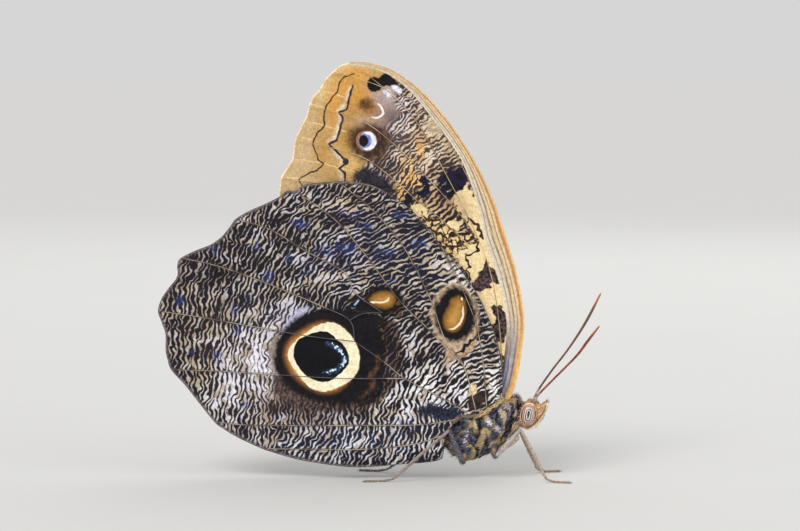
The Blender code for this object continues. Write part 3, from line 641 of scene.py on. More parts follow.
def wobbled(spots, amount, size, seed):
    """The spots, shifted a little this way and that, which makes a drawn edge uneven."""
    return spots + amount * np.stack([waves(spots, size, seed), waves(spots, size, seed + 1)], axis=1)


def through(points, step):
    """Points about a step apart on a smooth curve that runs through all the given ones."""
    points = np.array(points, float)
    ends = np.vstack([2 * points[0] - points[1], points, 2 * points[-1] - points[-2]])
    curve = []
    for before, start, end, after in zip(ends, ends[1:], ends[2:], ends[3:]):
        count = max(1, round(float(np.linalg.norm(end - start)) / step))
        for t in np.arange(count) / count:
            curve.append(
                0.5 * (2 * start + (end - before) * t
                       + (2 * before - 5 * start + 4 * end - after) * t ** 2
                       + (3 * start - before - 3 * end + after) * t ** 3)
            )
    return np.array(curve + [points[-1]])


def near_line(spots, curve):
    """For each spot, its distance to a polyline and how far along it the nearest place is, from 0 to 1."""
    start, heading = curve[:-1], curve[1:] - curve[:-1]
    lengths = np.maximum((heading ** 2).sum(-1), 1e-12)
    found = []
    for k in range(0, len(spots), NEAR_BATCH):
        step = spots[k:k + NEAR_BATCH, None] - start
        share = ((step * heading).sum(-1) / lengths).clip(0, 1)
        away = np.linalg.norm(step - share[..., None] * heading, axis=-1)
        nearest, each = away.argmin(1), np.arange(len(away))
        found.append((away[each, nearest], (nearest + share[each, nearest]) / len(start)))
    return [np.concatenate(values) for values in zip(*found)]


def nearest_of(spots, curves):
    """Distance to the nearest of several polylines."""
    return np.min([near_line(spots, curve)[0] for curve in curves], axis=0)


def inside(spots, outline):
    """Which spots lie inside a closed outline."""
    x, z = spots[:, 0], spots[:, 1]
    found = np.zeros(len(spots), bool)
    for (x0, z0), (x1, z1) in zip(outline, np.roll(outline, -1, axis=0)):
        crosses = (z0 > z) != (z1 > z)
        if z1 != z0:
            found ^= crosses & (x < (x1 - x0) * (z - z0) / (z1 - z0) + x0)
    return found


# Flat drawing: a shape gives millimetres for each spot, above 0 inside it

PATCH_STEP = 0.8
PATCH_REACH = 3.0
STROKE_STEP = 0.6
STROKE_REACH = 2.0
STROKE_TAPER = 0.35
# The brush of each drawn line: its half width, and for some how wide its ends are, in shares of it
BRUSHES = named("""
    front_line 0.3
    brown_arc 0.5
    black_arc 0.35
    sheen 0.5 0.5
    ochre_glint 0.2
    blue_glint 0.17
    bar_streaks 0.14
    line_shade 0.36
    creases 0.13 0.6
    line_outer 0.16 0.7
    line_inner 0.23 0.7
    apex_white 0.55
    crescent 0.22
    eye_white 0.42 0.4
    suture_groove 0.3 0.6
    sutures 0.26 0.6
    ochres 0.34
    highlights 0.22
    collar 0.34
    edge 0.4 0.8
    edge_line 0.13 0.8
""")


def nearby(spots, points, reach, draw):
    """Draws only close to the given points, and leaves the rest well outside the shape."""
    low, high = np.min(points, axis=0) - reach, np.max(points, axis=0) + reach
    close = ((spots > low) & (spots < high)).all(1)
    values = np.full(len(spots), -reach)
    if close.any():
        values[close] = np.maximum(draw(spots[close]), -reach)
    return values


def oval(spots, centre, half_width, half_height):
    away = np.linalg.norm((spots - centre) / (half_width, half_height), axis=1)
    return (1 - away) * math.sqrt(half_width * half_height)


def patch(spots, corners):
    outline = through([*corners, corners[0]], PATCH_STEP)

    def draw(near):
        edge, _ = near_line(near, outline)
        return np.where(inside(near, outline), edge, -edge)

    return nearby(spots, outline, PATCH_REACH, draw)


def stroke(spots, points, half_width, taper=STROKE_TAPER):
    """A brush line, narrower towards its ends."""
    curve = through(points, STROKE_STEP)

    def draw(near):
        away, along = near_line(near, curve)
        share = taper + (1 - taper) * np.sqrt(np.sin(math.pi * along.clip(0.001, 0.999)))
        return half_width * share - away

    return nearby(spots, curve, STROKE_REACH, draw)


def union(shapes):
    return np.max(list(shapes), axis=0)


def ovals(spots, forms):
    return union(oval(spots, *form) for form in forms)


def patches(spots, outlines):
    return union(patch(spots, outline) for outline in outlines)


def strokes(spots, lines, *measures):
    return union(stroke(spots, line, *measures) for line in lines)


def washed(spots, colour, washes):
    """A colour as seen, with washes of other colours over it (centre, reach, colour), as linear values."""
    colours = np.tile(paint(colour), (len(spots), 1))
    for centre, reach, tint in washes:
        colours += (paint(tint) - colours) * fades(spots, centre, reach)[:, None]
    return colours


# Ripple lines

RASTER_STEP = 0.4
RASTER_WALL = 0.34
# How often the fields are widened over the veins' walls, and how far from a vein a field is read
WALL_ROUNDS = 10
FIELD_REACH = 2.2 * RASTER_WALL
# Centres of the bursts: their spacing, and the bursts' size by the spacing of the lines
RIPPLE_SEEDS = 0.65
RIPPLE_SIZE = 0.8
BURST_REACH = 3
# How much, over what size and in what limits the pale share comes and goes, which leaves lighter drifts
SHARE_DRIFT = 0.14
SHARE_WAVE = 2.4
SHARE_LIMITS = (0.14, 0.72)
SHARE_SEED = 40
# Shifts of the spots that make the lines waver: amount, size and seed of each
RIPPLE_SHAKES = [(0.25, 1.3, 7), (0.11, 0.6, 9)]
# How the lines' heading follows the veins, and how it drifts (radians, size, seed)
HEADING_SOFTNESS = 1.5
HEADING_DRIFT = 0.22
HEADING_WAVE = (5.0, 5)
# Below this vein of the hindwing the lines are turned, fully from the given depth
TURNED_VEIN = "anal_2"
TURNED_DEGREES = -24.0
TURNED_DEPTH = 2.5


def grid_cells(size):
    """The column and row of each cell of a grid."""
    return np.indices(size).reshape(2, -1).T


def vein_feet(spots, curve):
    """Distance to a vein, the nearest place on it and the vein's direction there."""
    away, along = near_line(spots, curve)
    place = along * (len(curve) - 1)
    start = np.minimum(place.astype(int), len(curve) - 2)
    heading = curve[start + 1] - curve[start]
    return away, curve[start] + heading * (place - start)[:, None], unit(heading)


def field_map(curves, outline):
    """A raster in which each field between veins has its own number, and its lowest corner."""
    low = outline.min(0) - 1
    size = np.ceil((outline.max(0) + 1 - low) / RASTER_STEP).astype(int)
    raster = low + (grid_cells(size) + 0.5) * RASTER_STEP
    wall = nearest_of(raster, curves) < RASTER_WALL
    free = (inside(raster, outline) & ~wall).reshape(size)
    numbers = np.where(free, np.arange(1, free.size + 1).reshape(size), 0)

    def spread(fields):
        padded = np.pad(fields, 1)
        beside = [padded[:-2, 1:-1], padded[2:, 1:-1], padded[1:-1, :-2], padded[1:-1, 2:]]
        return np.max([*beside, fields], axis=0)

    grown = np.where(free, spread(numbers), 0)
    while (grown != numbers).any():
        numbers = grown
        grown = np.where(free, spread(numbers), 0)
    for _ in range(WALL_ROUNDS):
        numbers = np.where(numbers == 0, spread(numbers), numbers)
    return numbers, low


def fields_of(spots, curves, numbers, low):
    """The number of the field between veins that each spot lies in, exact up to the veins' middle lines."""
    nearest = np.full(len(spots), 1e9)
    feet = spots.copy()
    for curve in curves:
        away, foot, _ = vein_feet(spots, curve)
        closer = away < nearest
        nearest[closer] = away[closer]
        feet[closer] = foot[closer]
    out = (spots - feet) / np.maximum(nearest, 1e-6)[:, None]
    moved = feet + out * np.maximum(nearest, FIELD_REACH)[:, None]
    cell = ((moved - low) / RASTER_STEP).astype(int).clip(0, np.array(numbers.shape) - 1)
    return numbers[cell[:, 0], cell[:, 1]]


def heading_across(spots, plan):
    """The direction across the ripple lines: along the veins near by, but for the turned places."""
    total = np.zeros((len(spots), 2))
    for curve in plan.curves:
        away, _, heading = vein_feet(spots, curve)
        total += heading / (away[:, None] ** 2 + HEADING_SOFTNESS)
    angle = np.arctan2(total[:, 1], total[:, 0])
    if TURNED_VEIN in plan.veins:
        line = plan.curves[list(plan.veins).index(TURNED_VEIN)]
        below = np.interp(spots[:, 0], line[::-1, 0], line[::-1, 1]) - spots[:, 1]
        angle += math.radians(TURNED_DEGREES) * (below / TURNED_DEPTH).clip(0, 1)
    for centre, reach, degrees in plan.turns:
        angle += math.radians(degrees) * fades(spots, centre, reach)
    angle += HEADING_DRIFT * waves(spots, *HEADING_WAVE)
    return np.stack([np.cos(angle), np.sin(angle)], axis=1)


def ripple_measures(spots, plan):
    """The lines' spacing and pale share at each spot."""
    spacing, share = (np.full(len(spots), usual) for usual in plan.ripple)
    for centre, reach, near_spacing, near_share in plan.ripple_places:
        weight = fades(spots, centre, reach)
        spacing += (near_spacing - spacing) * weight
        share += (near_share - share) * weight
    return spacing, share


def ripples(plan):
    """Wavering, forking lines across each field between the veins, above 0 where they are pale.

    Many small bursts of waves, each with a chance phase, are added up. The lines follow the sum's phase, so
    they keep their spacing, but bend, end and fork.
    """
    spots, seed = plan.spots, plan.seed
    draw = np.random.default_rng(seed)
    low, high = plan.outline.min(0) - 1, plan.outline.max(0) + 1
    centres = grid_cells(((high - low) / RIPPLE_SEEDS).astype(int))
    centres = low + (centres + draw.uniform(0, 1, centres.shape)) * RIPPLE_SEEDS
    centres = centres[inside(centres, plan.outline)]
    phases = draw.uniform(0, math.tau, len(centres))
    field_numbers = field_map(plan.curves, plan.outline)
    owners, fields = (fields_of(places, plan.curves, *field_numbers) for places in (centres, spots))
    spacing, _ = ripple_measures(centres, plan)
    _, share = ripple_measures(spots, plan)
    share = (share + SHARE_DRIFT * waves(spots, SHARE_WAVE, seed + SHARE_SEED)).clip(*SHARE_LIMITS)
    shaken = spots
    for amount, size, shake_seed in RIPPLE_SHAKES:
        shaken = shaken + wobbled(spots, amount, size, seed + shake_seed) - spots
    order = np.argsort(shaken[:, 0])
    sorted_x = shaken[order, 0]
    total = np.zeros(len(spots), complex)
    bursts = zip(centres, phases, owners, heading_across(centres, plan), spacing)
    for centre, phase, field, heading, gap in bursts:
        size = RIPPLE_SIZE * gap
        reach = BURST_REACH * size
        near = order[slice(*np.searchsorted(sorted_x, (centre[0] - reach, centre[0] + reach)))]
        near = near[(fields[near] == field) & (np.abs(shaken[near, 1] - centre[1]) < reach)]
        step = shaken[near] - centre
        burst = np.exp(-(step ** 2).sum(1) / (2 * size ** 2))
        total[near] += burst * np.exp(1j * (math.tau / gap * (step @ heading) + phase))
    return np.cos(np.angle(total)) - np.cos(math.pi * share)


# Wing sheets

# Rise from row to row of an even grid, and how near to the outline its spots come, in a short step's shares
ROW_RISE = 0.866
EDGE_GAP = 0.45
EDGE_GAP_STEP = 0.5
# Where the outer and the inner face lie on the unwrap (corner, size), and how wide the rim is there
OUTER_UNWRAP = (0.01, (0.78, 0.98))
INNER_UNWRAP = ((0.82, 0.01), (0.17, 0.98))
RIM_UNWRAP = 0.004
# Veins: how deep they sit, how they flatten towards the margin, and how uneven they are (share, size)
VEIN_SEAT = 0.3
VEIN_FLATTENING = 0.4
VEIN_UNEVEN = (0.10, 2.0)
VEIN_SEED = 3
OUTSIDE = -9.0


def sheet_offset(spots, offset, fold):
    """Distance of a wing's middle from the plane of the body: wide at the root and round the abdomen."""
    away = np.linalg.norm(spots - ROOT_CENTRE, axis=1)
    beside, _ = near_line(spots, np.array([ABDOMEN_START, ABDOMEN_END]))
    return offset + ROOT_SPREAD * bell(away / ROOT_REACH) + fold * bell(beside / FOLD_REACH)


def wing_outline(leading_edge, veins, margin, inner_edge):
    """The closed outline: leading edge, margin, through the vein tips that it names, and inner edge."""
    places = [veins[place][-1] if isinstance(place, str) else place for place in margin]
    outer = through([leading_edge[-1], *places], EDGE_STEP)
    inner = through([places[-1], *inner_edge], EDGE_STEP)
    return np.vstack([through(leading_edge, EDGE_STEP), outer[1:], inner[1:]])


class WingPlan:
    """One wing in its own plane: outline, veins, mesh, relief and ripple lines, alike for both sides."""

    def __init__(self, edges, veins, offset, fold, ripple, ripple_places, turns, seed):
        leading_edge, margin, inner_edge = edges
        self.veins, self.offset, self.fold, self.seed = veins, offset, fold, seed
        self.ripple, self.ripple_places, self.turns = ripple, ripple_places, turns
        self.outline = wing_outline(leading_edge, veins, margin, inner_edge)
        self.closed = np.vstack([self.outline, self.outline[:1]])
        self.leading = through(leading_edge, VEIN_STEP)
        self.curves = [through(points, VEIN_STEP) for points in veins.values()]
        self.outer_spots, self.outer_faces, self.outer_rim = self.triangles(OUTER_STEP)
        self.inner_spots, self.inner_faces, self.inner_rim = self.triangles(INNER_STEP)
        self.spots = np.vstack([self.outer_spots, self.inner_spots])
        self.from_vein = nearest_of(self.spots, self.curves)
        self.from_edge, _ = near_line(self.spots, self.closed)
        self.stripes = ripples(self)

    def triangles(self, step):
        """Spots on an even grid in the outline, their triangles, and the number of each outline point."""
        low, high = self.outline.min(0), self.outline.max(0)
        columns = np.arange(low[0], high[0], step)
        grid = np.concatenate([
            np.stack([columns + (k % 2) * step / 2, np.full(len(columns), height)], axis=1)
            for k, height in enumerate(np.arange(low[1], high[1], step * ROW_RISE))
        ])
        grid = grid[inside(grid, self.outline)]
        grid = grid[near_line(grid, self.closed)[0] > EDGE_GAP * min(step, EDGE_GAP_STEP)]
        points = [Vector(p) for p in np.vstack([self.outline, grid])]
        border = list(range(len(self.outline)))
        spots, _, faces, sources, *_ = delaunay_2d_cdt(points, [], [border], 1, 1e-4)
        spots, faces = np.array([tuple(p) for p in spots]), np.array(faces)
        a, b, c = (spots[faces[:, k]] for k in range(3))
        turned = (b - a)[:, 0] * (c - a)[:, 1] - (b - a)[:, 1] * (c - a)[:, 0] < 0
        faces[turned] = faces[turned][:, ::-1]
        rim = np.zeros(len(self.outline), int)
        for spot, found in enumerate(sources):
            for source in found:
                if source < len(rim):
                    rim[source] = spot
        return spots, faces, rim

    def outer_height(self, spots, from_vein):
        """Distance of the outer face from the plane of the body."""
        middle = sheet_offset(spots, self.offset, self.fold)
        swell = VEIN_SWELL * bell(from_vein / VEIN_REACH)
        bow = MEMBRANE_BOW * (1 - bell(from_vein / BOW_REACH))
        wave = MEMBRANE_WAVE * waves(spots, MEMBRANE_WAVE_SIZE, self.seed)
        return middle + SHEET_THICKNESS / 2 + swell + bow + wave

    def build(self, name, side, material, fields):
        """The wing's closed sheet, with its drawing fields kept on its points."""
        outer_count = len(self.outer_spots)
        outer = self.outer_height(self.outer_spots, self.from_vein[:outer_count])
        inner = sheet_offset(self.inner_spots, self.offset, self.fold) - SHEET_THICKNESS / 2
        heights = side * np.concatenate([outer, inner])
        outer_rim, inner_rim = self.outer_rim, self.inner_rim + outer_count
        rim = np.stack([np.roll(outer_rim, -1), outer_rim, inner_rim, np.roll(inner_rim, -1)], axis=1)
        groups = [self.outer_faces, self.inner_faces[:, ::-1] + outer_count, rim]
        if side > 0:
            groups = [group[:, ::-1] for group in groups]
        piece = new_mesh(name, raised(self.spots, heights), groups, material)
        low, high = self.outline.min(0), self.outline.max(0)
        flat = (self.spots - low) / (high - low)
        places, on_inner = (corner + flat * size for corner, size in (OUTER_UNWRAP, INNER_UNWRAP))
        skirt_edge = places[outer_rim] + RIM_UNWRAP * unit(self.outline - self.outline.mean(0))
        places[outer_count:] = on_inner[outer_count:]
        skirt = places.copy()
        skirt[inner_rim] = skirt_edge
        corners = [places[groups[0]], places[groups[1]], skirt[groups[2]]]
        bake_map(piece, np.concatenate([corner.reshape(-1, 2) for corner in corners]))
        store(piece, on_outer=np.arange(len(places)) < outer_count, **fields)
        return piece

    def vein_piece(self, name, side, material, black_zones):
        """All the wing's veins as thin raised cords that taper to the margin, darker in the black zones."""
        parts, in_black = [], []
        for curve in self.curves:
            kept = curve[inside(curve, self.outline) & (near_line(curve, self.closed)[0] > VEIN_END_GAP)]
            if len(kept) < 3:
                continue
            height = self.outer_height(kept, nearest_of(kept, self.curves)) + VEIN_RISE * VEIN_SEAT
            share = np.linspace(0, 1, len(kept))
            wide = VEIN_WIDTH[0] + (VEIN_WIDTH[1] - VEIN_WIDTH[0]) * share
            wide = wide * (1 + VEIN_UNEVEN[0] * waves(kept, VEIN_UNEVEN[1], self.seed + VEIN_SEED))
            high = VEIN_RISE * (1 - VEIN_FLATTENING * share)
            parts.append(ribbon(raised(kept, side * height), (0, side, 0), wide, high, VEIN_SIDES))
            black = patches(kept, black_zones) if black_zones else np.full(len(kept), OUTSIDE)
            in_black += [np.repeat(black, VEIN_SIDES), black[[0, -1]]]
        piece = new_mesh(name, *merged(parts), material)
        store(piece, in_black=np.concatenate(in_black))
        return piece


# Wing patterns. Layers lie over the ground from the first to the last. Each has an edge softness and an
# edge raggedness, then two colours that mottle each other and the mottling's scale, or the name of its
# shades inwards from its edge, or its own washed colours.

HINDWING_LAYERS = named("""
    margin_pale 0.3 1.6 150,138,140 100,90,94 1.6
    margin_line 0.1 0.7 44,38,46 84,74,80 1
    rim 0.06 0.15 74,66,68 104,94,94 0.8
    base_blue 0.5 2.6 20,22,36 40,46,66 2.2
    front_tan 0.5 1 206,182,152 166,140,116 1.2
    tan_below 0.3 0.6 200,172,136 160,130,104 1.5
    front_line 0.12 0.3 13,12,16 24,19,24 1
    lilac_halo 0.45 0.8 204,200,226 176,172,206 2
    grey_halo 0.5 0.8 166,152,144 142,126,120 2
    brown_halo 0.9 2.2 108,86,76 66,52,50 2
    spot_black 0.65 0.9 13,12,16 24,19,24 1
    spot_brown 0.55 1 104,82,62 60,46,38 1.4
    brown_arc 0.45 0.9 92,62,44 60,42,34 1.2
    black_arc 0.3 0.5 13,12,16 24,19,24 1.2
    ring_brown 0.25 0.2 ring_shades
    ring_cream 0.14 0.12 252,241,208 247,233,196 0.6
    pupil 0.08 0.08 9,9,12 13,13,18 1
    sheen 0.25 0.9 20,34,58 52,84,124 3
    glint 0.06 0.1 236,246,255 190,218,244 3
    ochre 0.14 0.1 ochre_shades
    ochre_glint 0.1 0.25 252,241,208 247,233,196 1
    blue_glint 0.1 0.3 222,234,252 160,190,236 1
    base_patch 0.3 0.9 26,22,26 62,48,42 1.2
    knob 0.2 0.7 238,218,178 206,176,132 1.4
""")
FOREWING_LAYERS = named("""
    cell_cream 0.1 0.3 washes
    orange_cream 0.16 1 238,200,142 214,162,100 0.8
    bars 0.16 0.9 20,17,26 30,28,50 0.7
    bar_streaks 0.1 0.5 176,160,124 110,102,86 1
    cell_black 0.14 0.7 30,22,26 96,76,76 1.6
    net_cells 0.12 0.5 242,214,158 226,190,132 0.8
    net_threads 0.1 0.3 32,24,26 58,42,40 1
    strip_side 0.5 1.8 224,202,166 184,160,134 2.2
    corner_dark 0.7 1.8 30,30,42 52,47,54 1.2
    nets 0.07 0.25 34,24,22 70,46,34 1
    apex_zone 0.75 1.6 washes
    line_shade 0.42 0.15 226,212,186 208,190,162 1
    creases 0.1 0 238,206,152 226,190,132 1
    line_outer 0.07 0.12 56,38,32 92,62,42 1
    line_inner 0.08 0.16 44,36,46 64,52,60 1
    apex_black 0.16 0.35 13,12,16 24,19,24 1
    apex_white 0.2 0.3 248,248,253 216,218,236 1.5
    brown_spot 0.75 0.8 84,52,26 122,80,38 1
    crescent 0.1 0.15 250,244,238 238,230,226 1
    eye_dark 1.1 0.8 54,38,34 84,60,46 1
    eye_ochre 0.18 0.2 182,124,58 150,94,42 1
    eye_blue 0.14 0.2 112,122,190 150,162,222 1.6
    eye_white 0.16 0.2 246,248,255 220,226,250 1
    eye_black 0.12 0.12 13,12,16 24,19,24 1
    forewing_rim 0.08 0.1 250,230,192 240,214,168 1
""")
# Shades by distance in from an edge, in millimetres
SHADES = {
    "ring_shades": rows("0 24,17,16; 0.35 62,40,27; 0.75 112,74,40; 1.15 158,108,54; 1.7 204,152,84"),
    "ochre_shades": rows("0 46,30,18; 0.3 108,72,30; 0.75 150,104,44; 1.4 176,126,58; 2 190,144,76"),
}
SHADE_REACH = 2.0
# How the edges of drawn shapes waver: amount, size and seed, for the fine and for the rough ones
HINDWING_WOBBLES = ((0.05, 0.7, 21), (0.2, 0.8, 31))
FOREWING_WOBBLES = ((0.08, 0.9, 41), (0.24, 0.8, 51))
# The hindwing's margin: the pale band's greatest depth and what its edge lacks, from which x it grows
# towards the tail and over what length, then how deep the dark line lies and its half width
MARGIN_DEPTH = 0.715
MARGIN_LACK = 0.3
MARGIN_START = 8
MARGIN_LENGTH = 12
MARGIN_LINE = (0.42, 0.07)
# How deep the dark rims of the wings are
HINDWING_RIM = 0.14
FOREWING_RIM = 0.26
# How far the two dark grounds of the eyespots reach over their outlines
EYESPOT_GROWTH = 0.4
FRONT_SPOT_GROWTH = 0.3
# How much of a patch is left between the pale stripes, by what is added to them
FAINT_STRIPES = 0.05
SOME_STRIPES = 0.3
FULL_STRIPES = 0.6
GLINT_SEED = 5
# Step along the curves on which dots and hairs are scattered
SCATTER_STEP = 0.1
GLINT_CROWDING = 1.6
# The forewing's net: the seed and the range of its cells' shifts, and how its threads end
NET_SEED = 12
NET_SHIFTS = (0.1, 0.9)
NET_GROWTH = 0.2
NET_TAPER = 0.7
# The small eyespot's ovals: their places from its middle, half widths and half heights
SMALL_EYE_OVALS = named("""
    dark 0.7,-0.2 4.1 3.8
    brow -2.7,1.5 1 1
    ochre 0,0 2.05 2.1
    blue 0.1,0 1.7 1.75
    black -0.55,0.05 0.95 1.15
""")
# How much of the blue patches is left out at their edges
BLUE_THRESHOLD = 0.35


def glints(spots):
    """A curved row of separate bright dots in the great eyespot."""
    draw = np.random.default_rng(GLINT_SEED)
    path = through(EYESPOT_GLINT, SCATTER_STEP)
    along = draw.beta(GLINT_CROWDING, GLINT_CROWDING, GLINT_DOTS) * (len(path) - 1)
    places = path[along.astype(int)] + draw.normal(0, GLINT_SPREAD, (GLINT_DOTS, 2))
    sizes = draw.uniform(*GLINT_SIZES, (GLINT_DOTS, 2))
    return union(oval(spots, place, *size) for place, size in zip(places, sizes))


def hindwing_drawing(plan):
    """The shape of each layer of the hindwing."""
    spots, rough = (wobbled(plan.spots, *wobble) for wobble in HINDWING_WOBBLES)
    outer = MARGIN_DEPTH * ((MARGIN_START - plan.spots[:, 0]) / MARGIN_LENGTH).clip(0, 1)
    line_depth, line_width = MARGIN_LINE
    eyespot = patch(rough, EYESPOT_BLACK) + EYESPOT_GROWTH
    front_spot = patch(rough, FRONT_SPOT_BLACK) + FRONT_SPOT_GROWTH
    return {
        "margin_pale": outer - MARGIN_LACK - plan.from_edge,
        "margin_line": line_width - np.abs(plan.from_edge - line_depth),
        "rim": HINDWING_RIM - plan.from_edge,
        "base_blue": patch(rough, BASE_BLUE),
        "front_tan": patch(rough, FRONT_SPOT_TAN),
        "tan_below": patch(rough, TAN_BELOW_FRONT_SPOT),
        "front_line": stroke(rough, FRONT_SPOT_LINE, *BRUSHES["front_line"]),
        "lilac_halo": patch(rough, LILAC_HALO),
        "grey_halo": patch(rough, GREY_HALO),
        "brown_halo": np.minimum(patch(rough, BROWN_HALO), plan.stripes + FULL_STRIPES),
        "spot_black": union([eyespot, front_spot, patches(rough, BLACK_ZONES)]),
        "spot_brown": np.minimum(patches(rough, BROWN_ZONES), plan.stripes + FAINT_STRIPES),
        "brown_arc": stroke(rough, BROWN_ARC, *BRUSHES["brown_arc"]),
        "black_arc": stroke(rough, BLACK_ARC, *BRUSHES["black_arc"]),
        "ring_brown": patch(spots, EYESPOT_BROWN),
        "ring_cream": patch(spots, EYESPOT_CREAM),
        "pupil": patch(spots, EYESPOT_PUPIL),
        "sheen": stroke(rough, EYESPOT_GLINT, *BRUSHES["sheen"]),
        "glint": glints(spots),
        "ochre": patches(spots, OCHRE_SPOTS),
        "ochre_glint": strokes(spots, OCHRE_GLINTS, *BRUSHES["ochre_glint"]),
        "blue_glint": strokes(spots, BLUE_GLINTS, *BRUSHES["blue_glint"]),
        "base_patch": patch(rough, BASE_BLACK),
        "knob": oval(rough, *KNOB),
    }


def net_distance(spots):
    """How far each spot is from the nearest border between rounded cells of uneven size."""
    low = spots.min(0) - 2 * NET_CELL
    square = ((spots - low) / NET_CELL).astype(int)
    shifts = np.random.default_rng(NET_SEED).uniform(*NET_SHIFTS, (*(square.max(0) + 3), 2))
    away = []
    for beside in ((i, j) for i in (-1, 0, 1) for j in (-1, 0, 1)):
        cell = square + beside
        centres = low + (cell + shifts[cell[:, 0], cell[:, 1]]) * NET_CELL
        away.append(np.linalg.norm(centres - spots, axis=1))
    first, second, *_ = np.sort(away, axis=0)
    return (second - first) / 2


def forewing_drawing(plan):
    """The shape of each layer of the forewing, and the washed colours of two."""
    spots, rough = (wobbled(plan.spots, *wobble) for wobble in FOREWING_WOBBLES)
    net = patch(rough, NET_ZONE)

    def eye_oval(near, name):
        shift, *radii = SMALL_EYE_OVALS[name]
        return oval(near, np.array(SMALL_EYE) + shift, *radii)

    return {
        "cell_cream": patches(rough, CELL_CREAM),
        "cell_cream_tint": washed(plan.spots, CELL_COLOUR, CELL_SHADES),
        "orange_cream": np.minimum(patches(rough, ORANGE_CREAM), plan.stripes + FULL_STRIPES),
        "bars": patches(rough, FOREWING_BARS),
        "bar_streaks": strokes(rough, BAR_STREAKS, *BRUSHES["bar_streaks"]),
        "cell_black": patches(rough, CELL_BLACKS),
        "net_cells": net,
        "net_threads": np.minimum(net + NET_GROWTH, NET_THREAD - net_distance(rough)),
        "strip_side": np.minimum(patch(rough, STRIP_SIDE), plan.stripes + SOME_STRIPES),
        "corner_dark": patch(rough, CORNER_DARK),
        "nets": union(stroke(rough, line, half, NET_TAPER) for half, *line in RETICULATION),
        "apex_zone": patch(spots, APEX_ZONE),
        "apex_zone_tint": washed(plan.spots, APEX_COLOUR, APEX_WASHES),
        "line_shade": strokes(spots, PALE_INSIDE_LINE, *BRUSHES["line_shade"]),
        "creases": strokes(spots, CREASES, *BRUSHES["creases"]),
        "line_outer": stroke(spots, LINE_OUTER, *BRUSHES["line_outer"]),
        "line_inner": union([stroke(spots, LINE_INNER, *BRUSHES["line_inner"]), oval(spots, *LINE_BLOB)]),
        "apex_black": ovals(spots, APEX_BLACK),
        "apex_white": strokes(spots, APEX_WHITE, *BRUSHES["apex_white"]),
        "brown_spot": oval(rough, *BROWN_SPOT),
        "crescent": stroke(spots, APEX_CRESCENT, *BRUSHES["crescent"]),
        "eye_dark": union([eye_oval(rough, "dark"), eye_oval(rough, "brow")]),
        "eye_ochre": eye_oval(spots, "ochre"),
        "eye_blue": eye_oval(spots, "blue"),
        "eye_white": stroke(spots, SMALL_EYE_WHITE, *BRUSHES["eye_white"]),
        "eye_black": eye_oval(spots, "black"),
        "forewing_rim": FOREWING_RIM - plan.from_edge,
    }


def wing_fields(plan, drawing, dark, dark_washes, pale, pale_washes, blues):
    return {
        "ground": washed(plan.spots, dark, dark_washes),
        "pale": washed(plan.spots, pale, pale_washes),
        "ripple": plan.stripes,
        "blue": sum(fades(plan.spots, centre, reach) for centre, reach in blues) - BLUE_THRESHOLD,
        "from_vein": plan.from_vein,
        **drawing,
    }


SCALES_PER_MM = 7.0
SCALE_SHAPE = (1.0, 1.0, 0.6)
DORSAL = ((70, 48, 34), (48, 36, 40))
BLUE_IN_DARK = (36, 46, 88)
BLUE_IN_PALE = (134, 142, 182)
BESIDE_VEIN = (70, 54, 50)
STREAK_SHAPE = ((2.4, 1.0, 0.5), (0.0, 0.2, 0.0))
STREAK_DEPTH = 0.07
VEIN_IN_BLACK = (76, 72, 82)


def pale_and_dark(finish, second_pale, third_pale, ragged):
    """The wing's ground of wavy stripes."""
    coarse = finish.noise(0.42)
    blue = finish.plus(finish.read("blue"), finish.sway(0.9), 2.6)
    pale = finish.over(finish.read("pale", "Color"), second_pale, coarse, 0.48, 0.60, 0.0, 0.8)
    pale = finish.over(pale, third_pale, coarse, 0.34, 0.44, 0.7, 0.0)
    pale = finish.over(pale, BLUE_IN_PALE, blue, 0.3, 0.9, 0.0, 0.8)
    ground = finish.over(finish.read("ground", "Color"), BLUE_IN_DARK, blue, 0.1, 0.8)
    edge = finish.plus(finish.plus(finish.read("ripple"), ragged, 1.3), finish.sway(0.75, 2.0), 1.4)
    colour = finish.over(ground, pale, edge, -0.45, 0.6)
    return finish.over(colour, BESIDE_VEIN, finish.read("from_vein"), 0.12, 0.4, 0.5, 0.0)


def leading_strip(finish, colour):
    """Streaky bands along the forewing's leading edge, over the given colour."""
    streaks = finish.noise(0.9, MOTTLE_DETAIL, finish.stretched(*STREAK_SHAPE))
    across = finish.plus(finish.read("costa"), streaks, STREAK_DEPTH)
    across = finish.maths("SUBTRACT", across, STREAK_DEPTH / 2)
    near_root = finish.step(finish.read("costa_share"), 0.10, 0.24, 1.0, 0.0)
    bands = finish.mix(near_root, finish.ramp(across, COSTA_BANDS), finish.ramp(across, COSTA_ROOT_BANDS))
    return finish.over(colour, bands, finish.read("costa"), 0.97, 1.03, 1.0, 0.0)


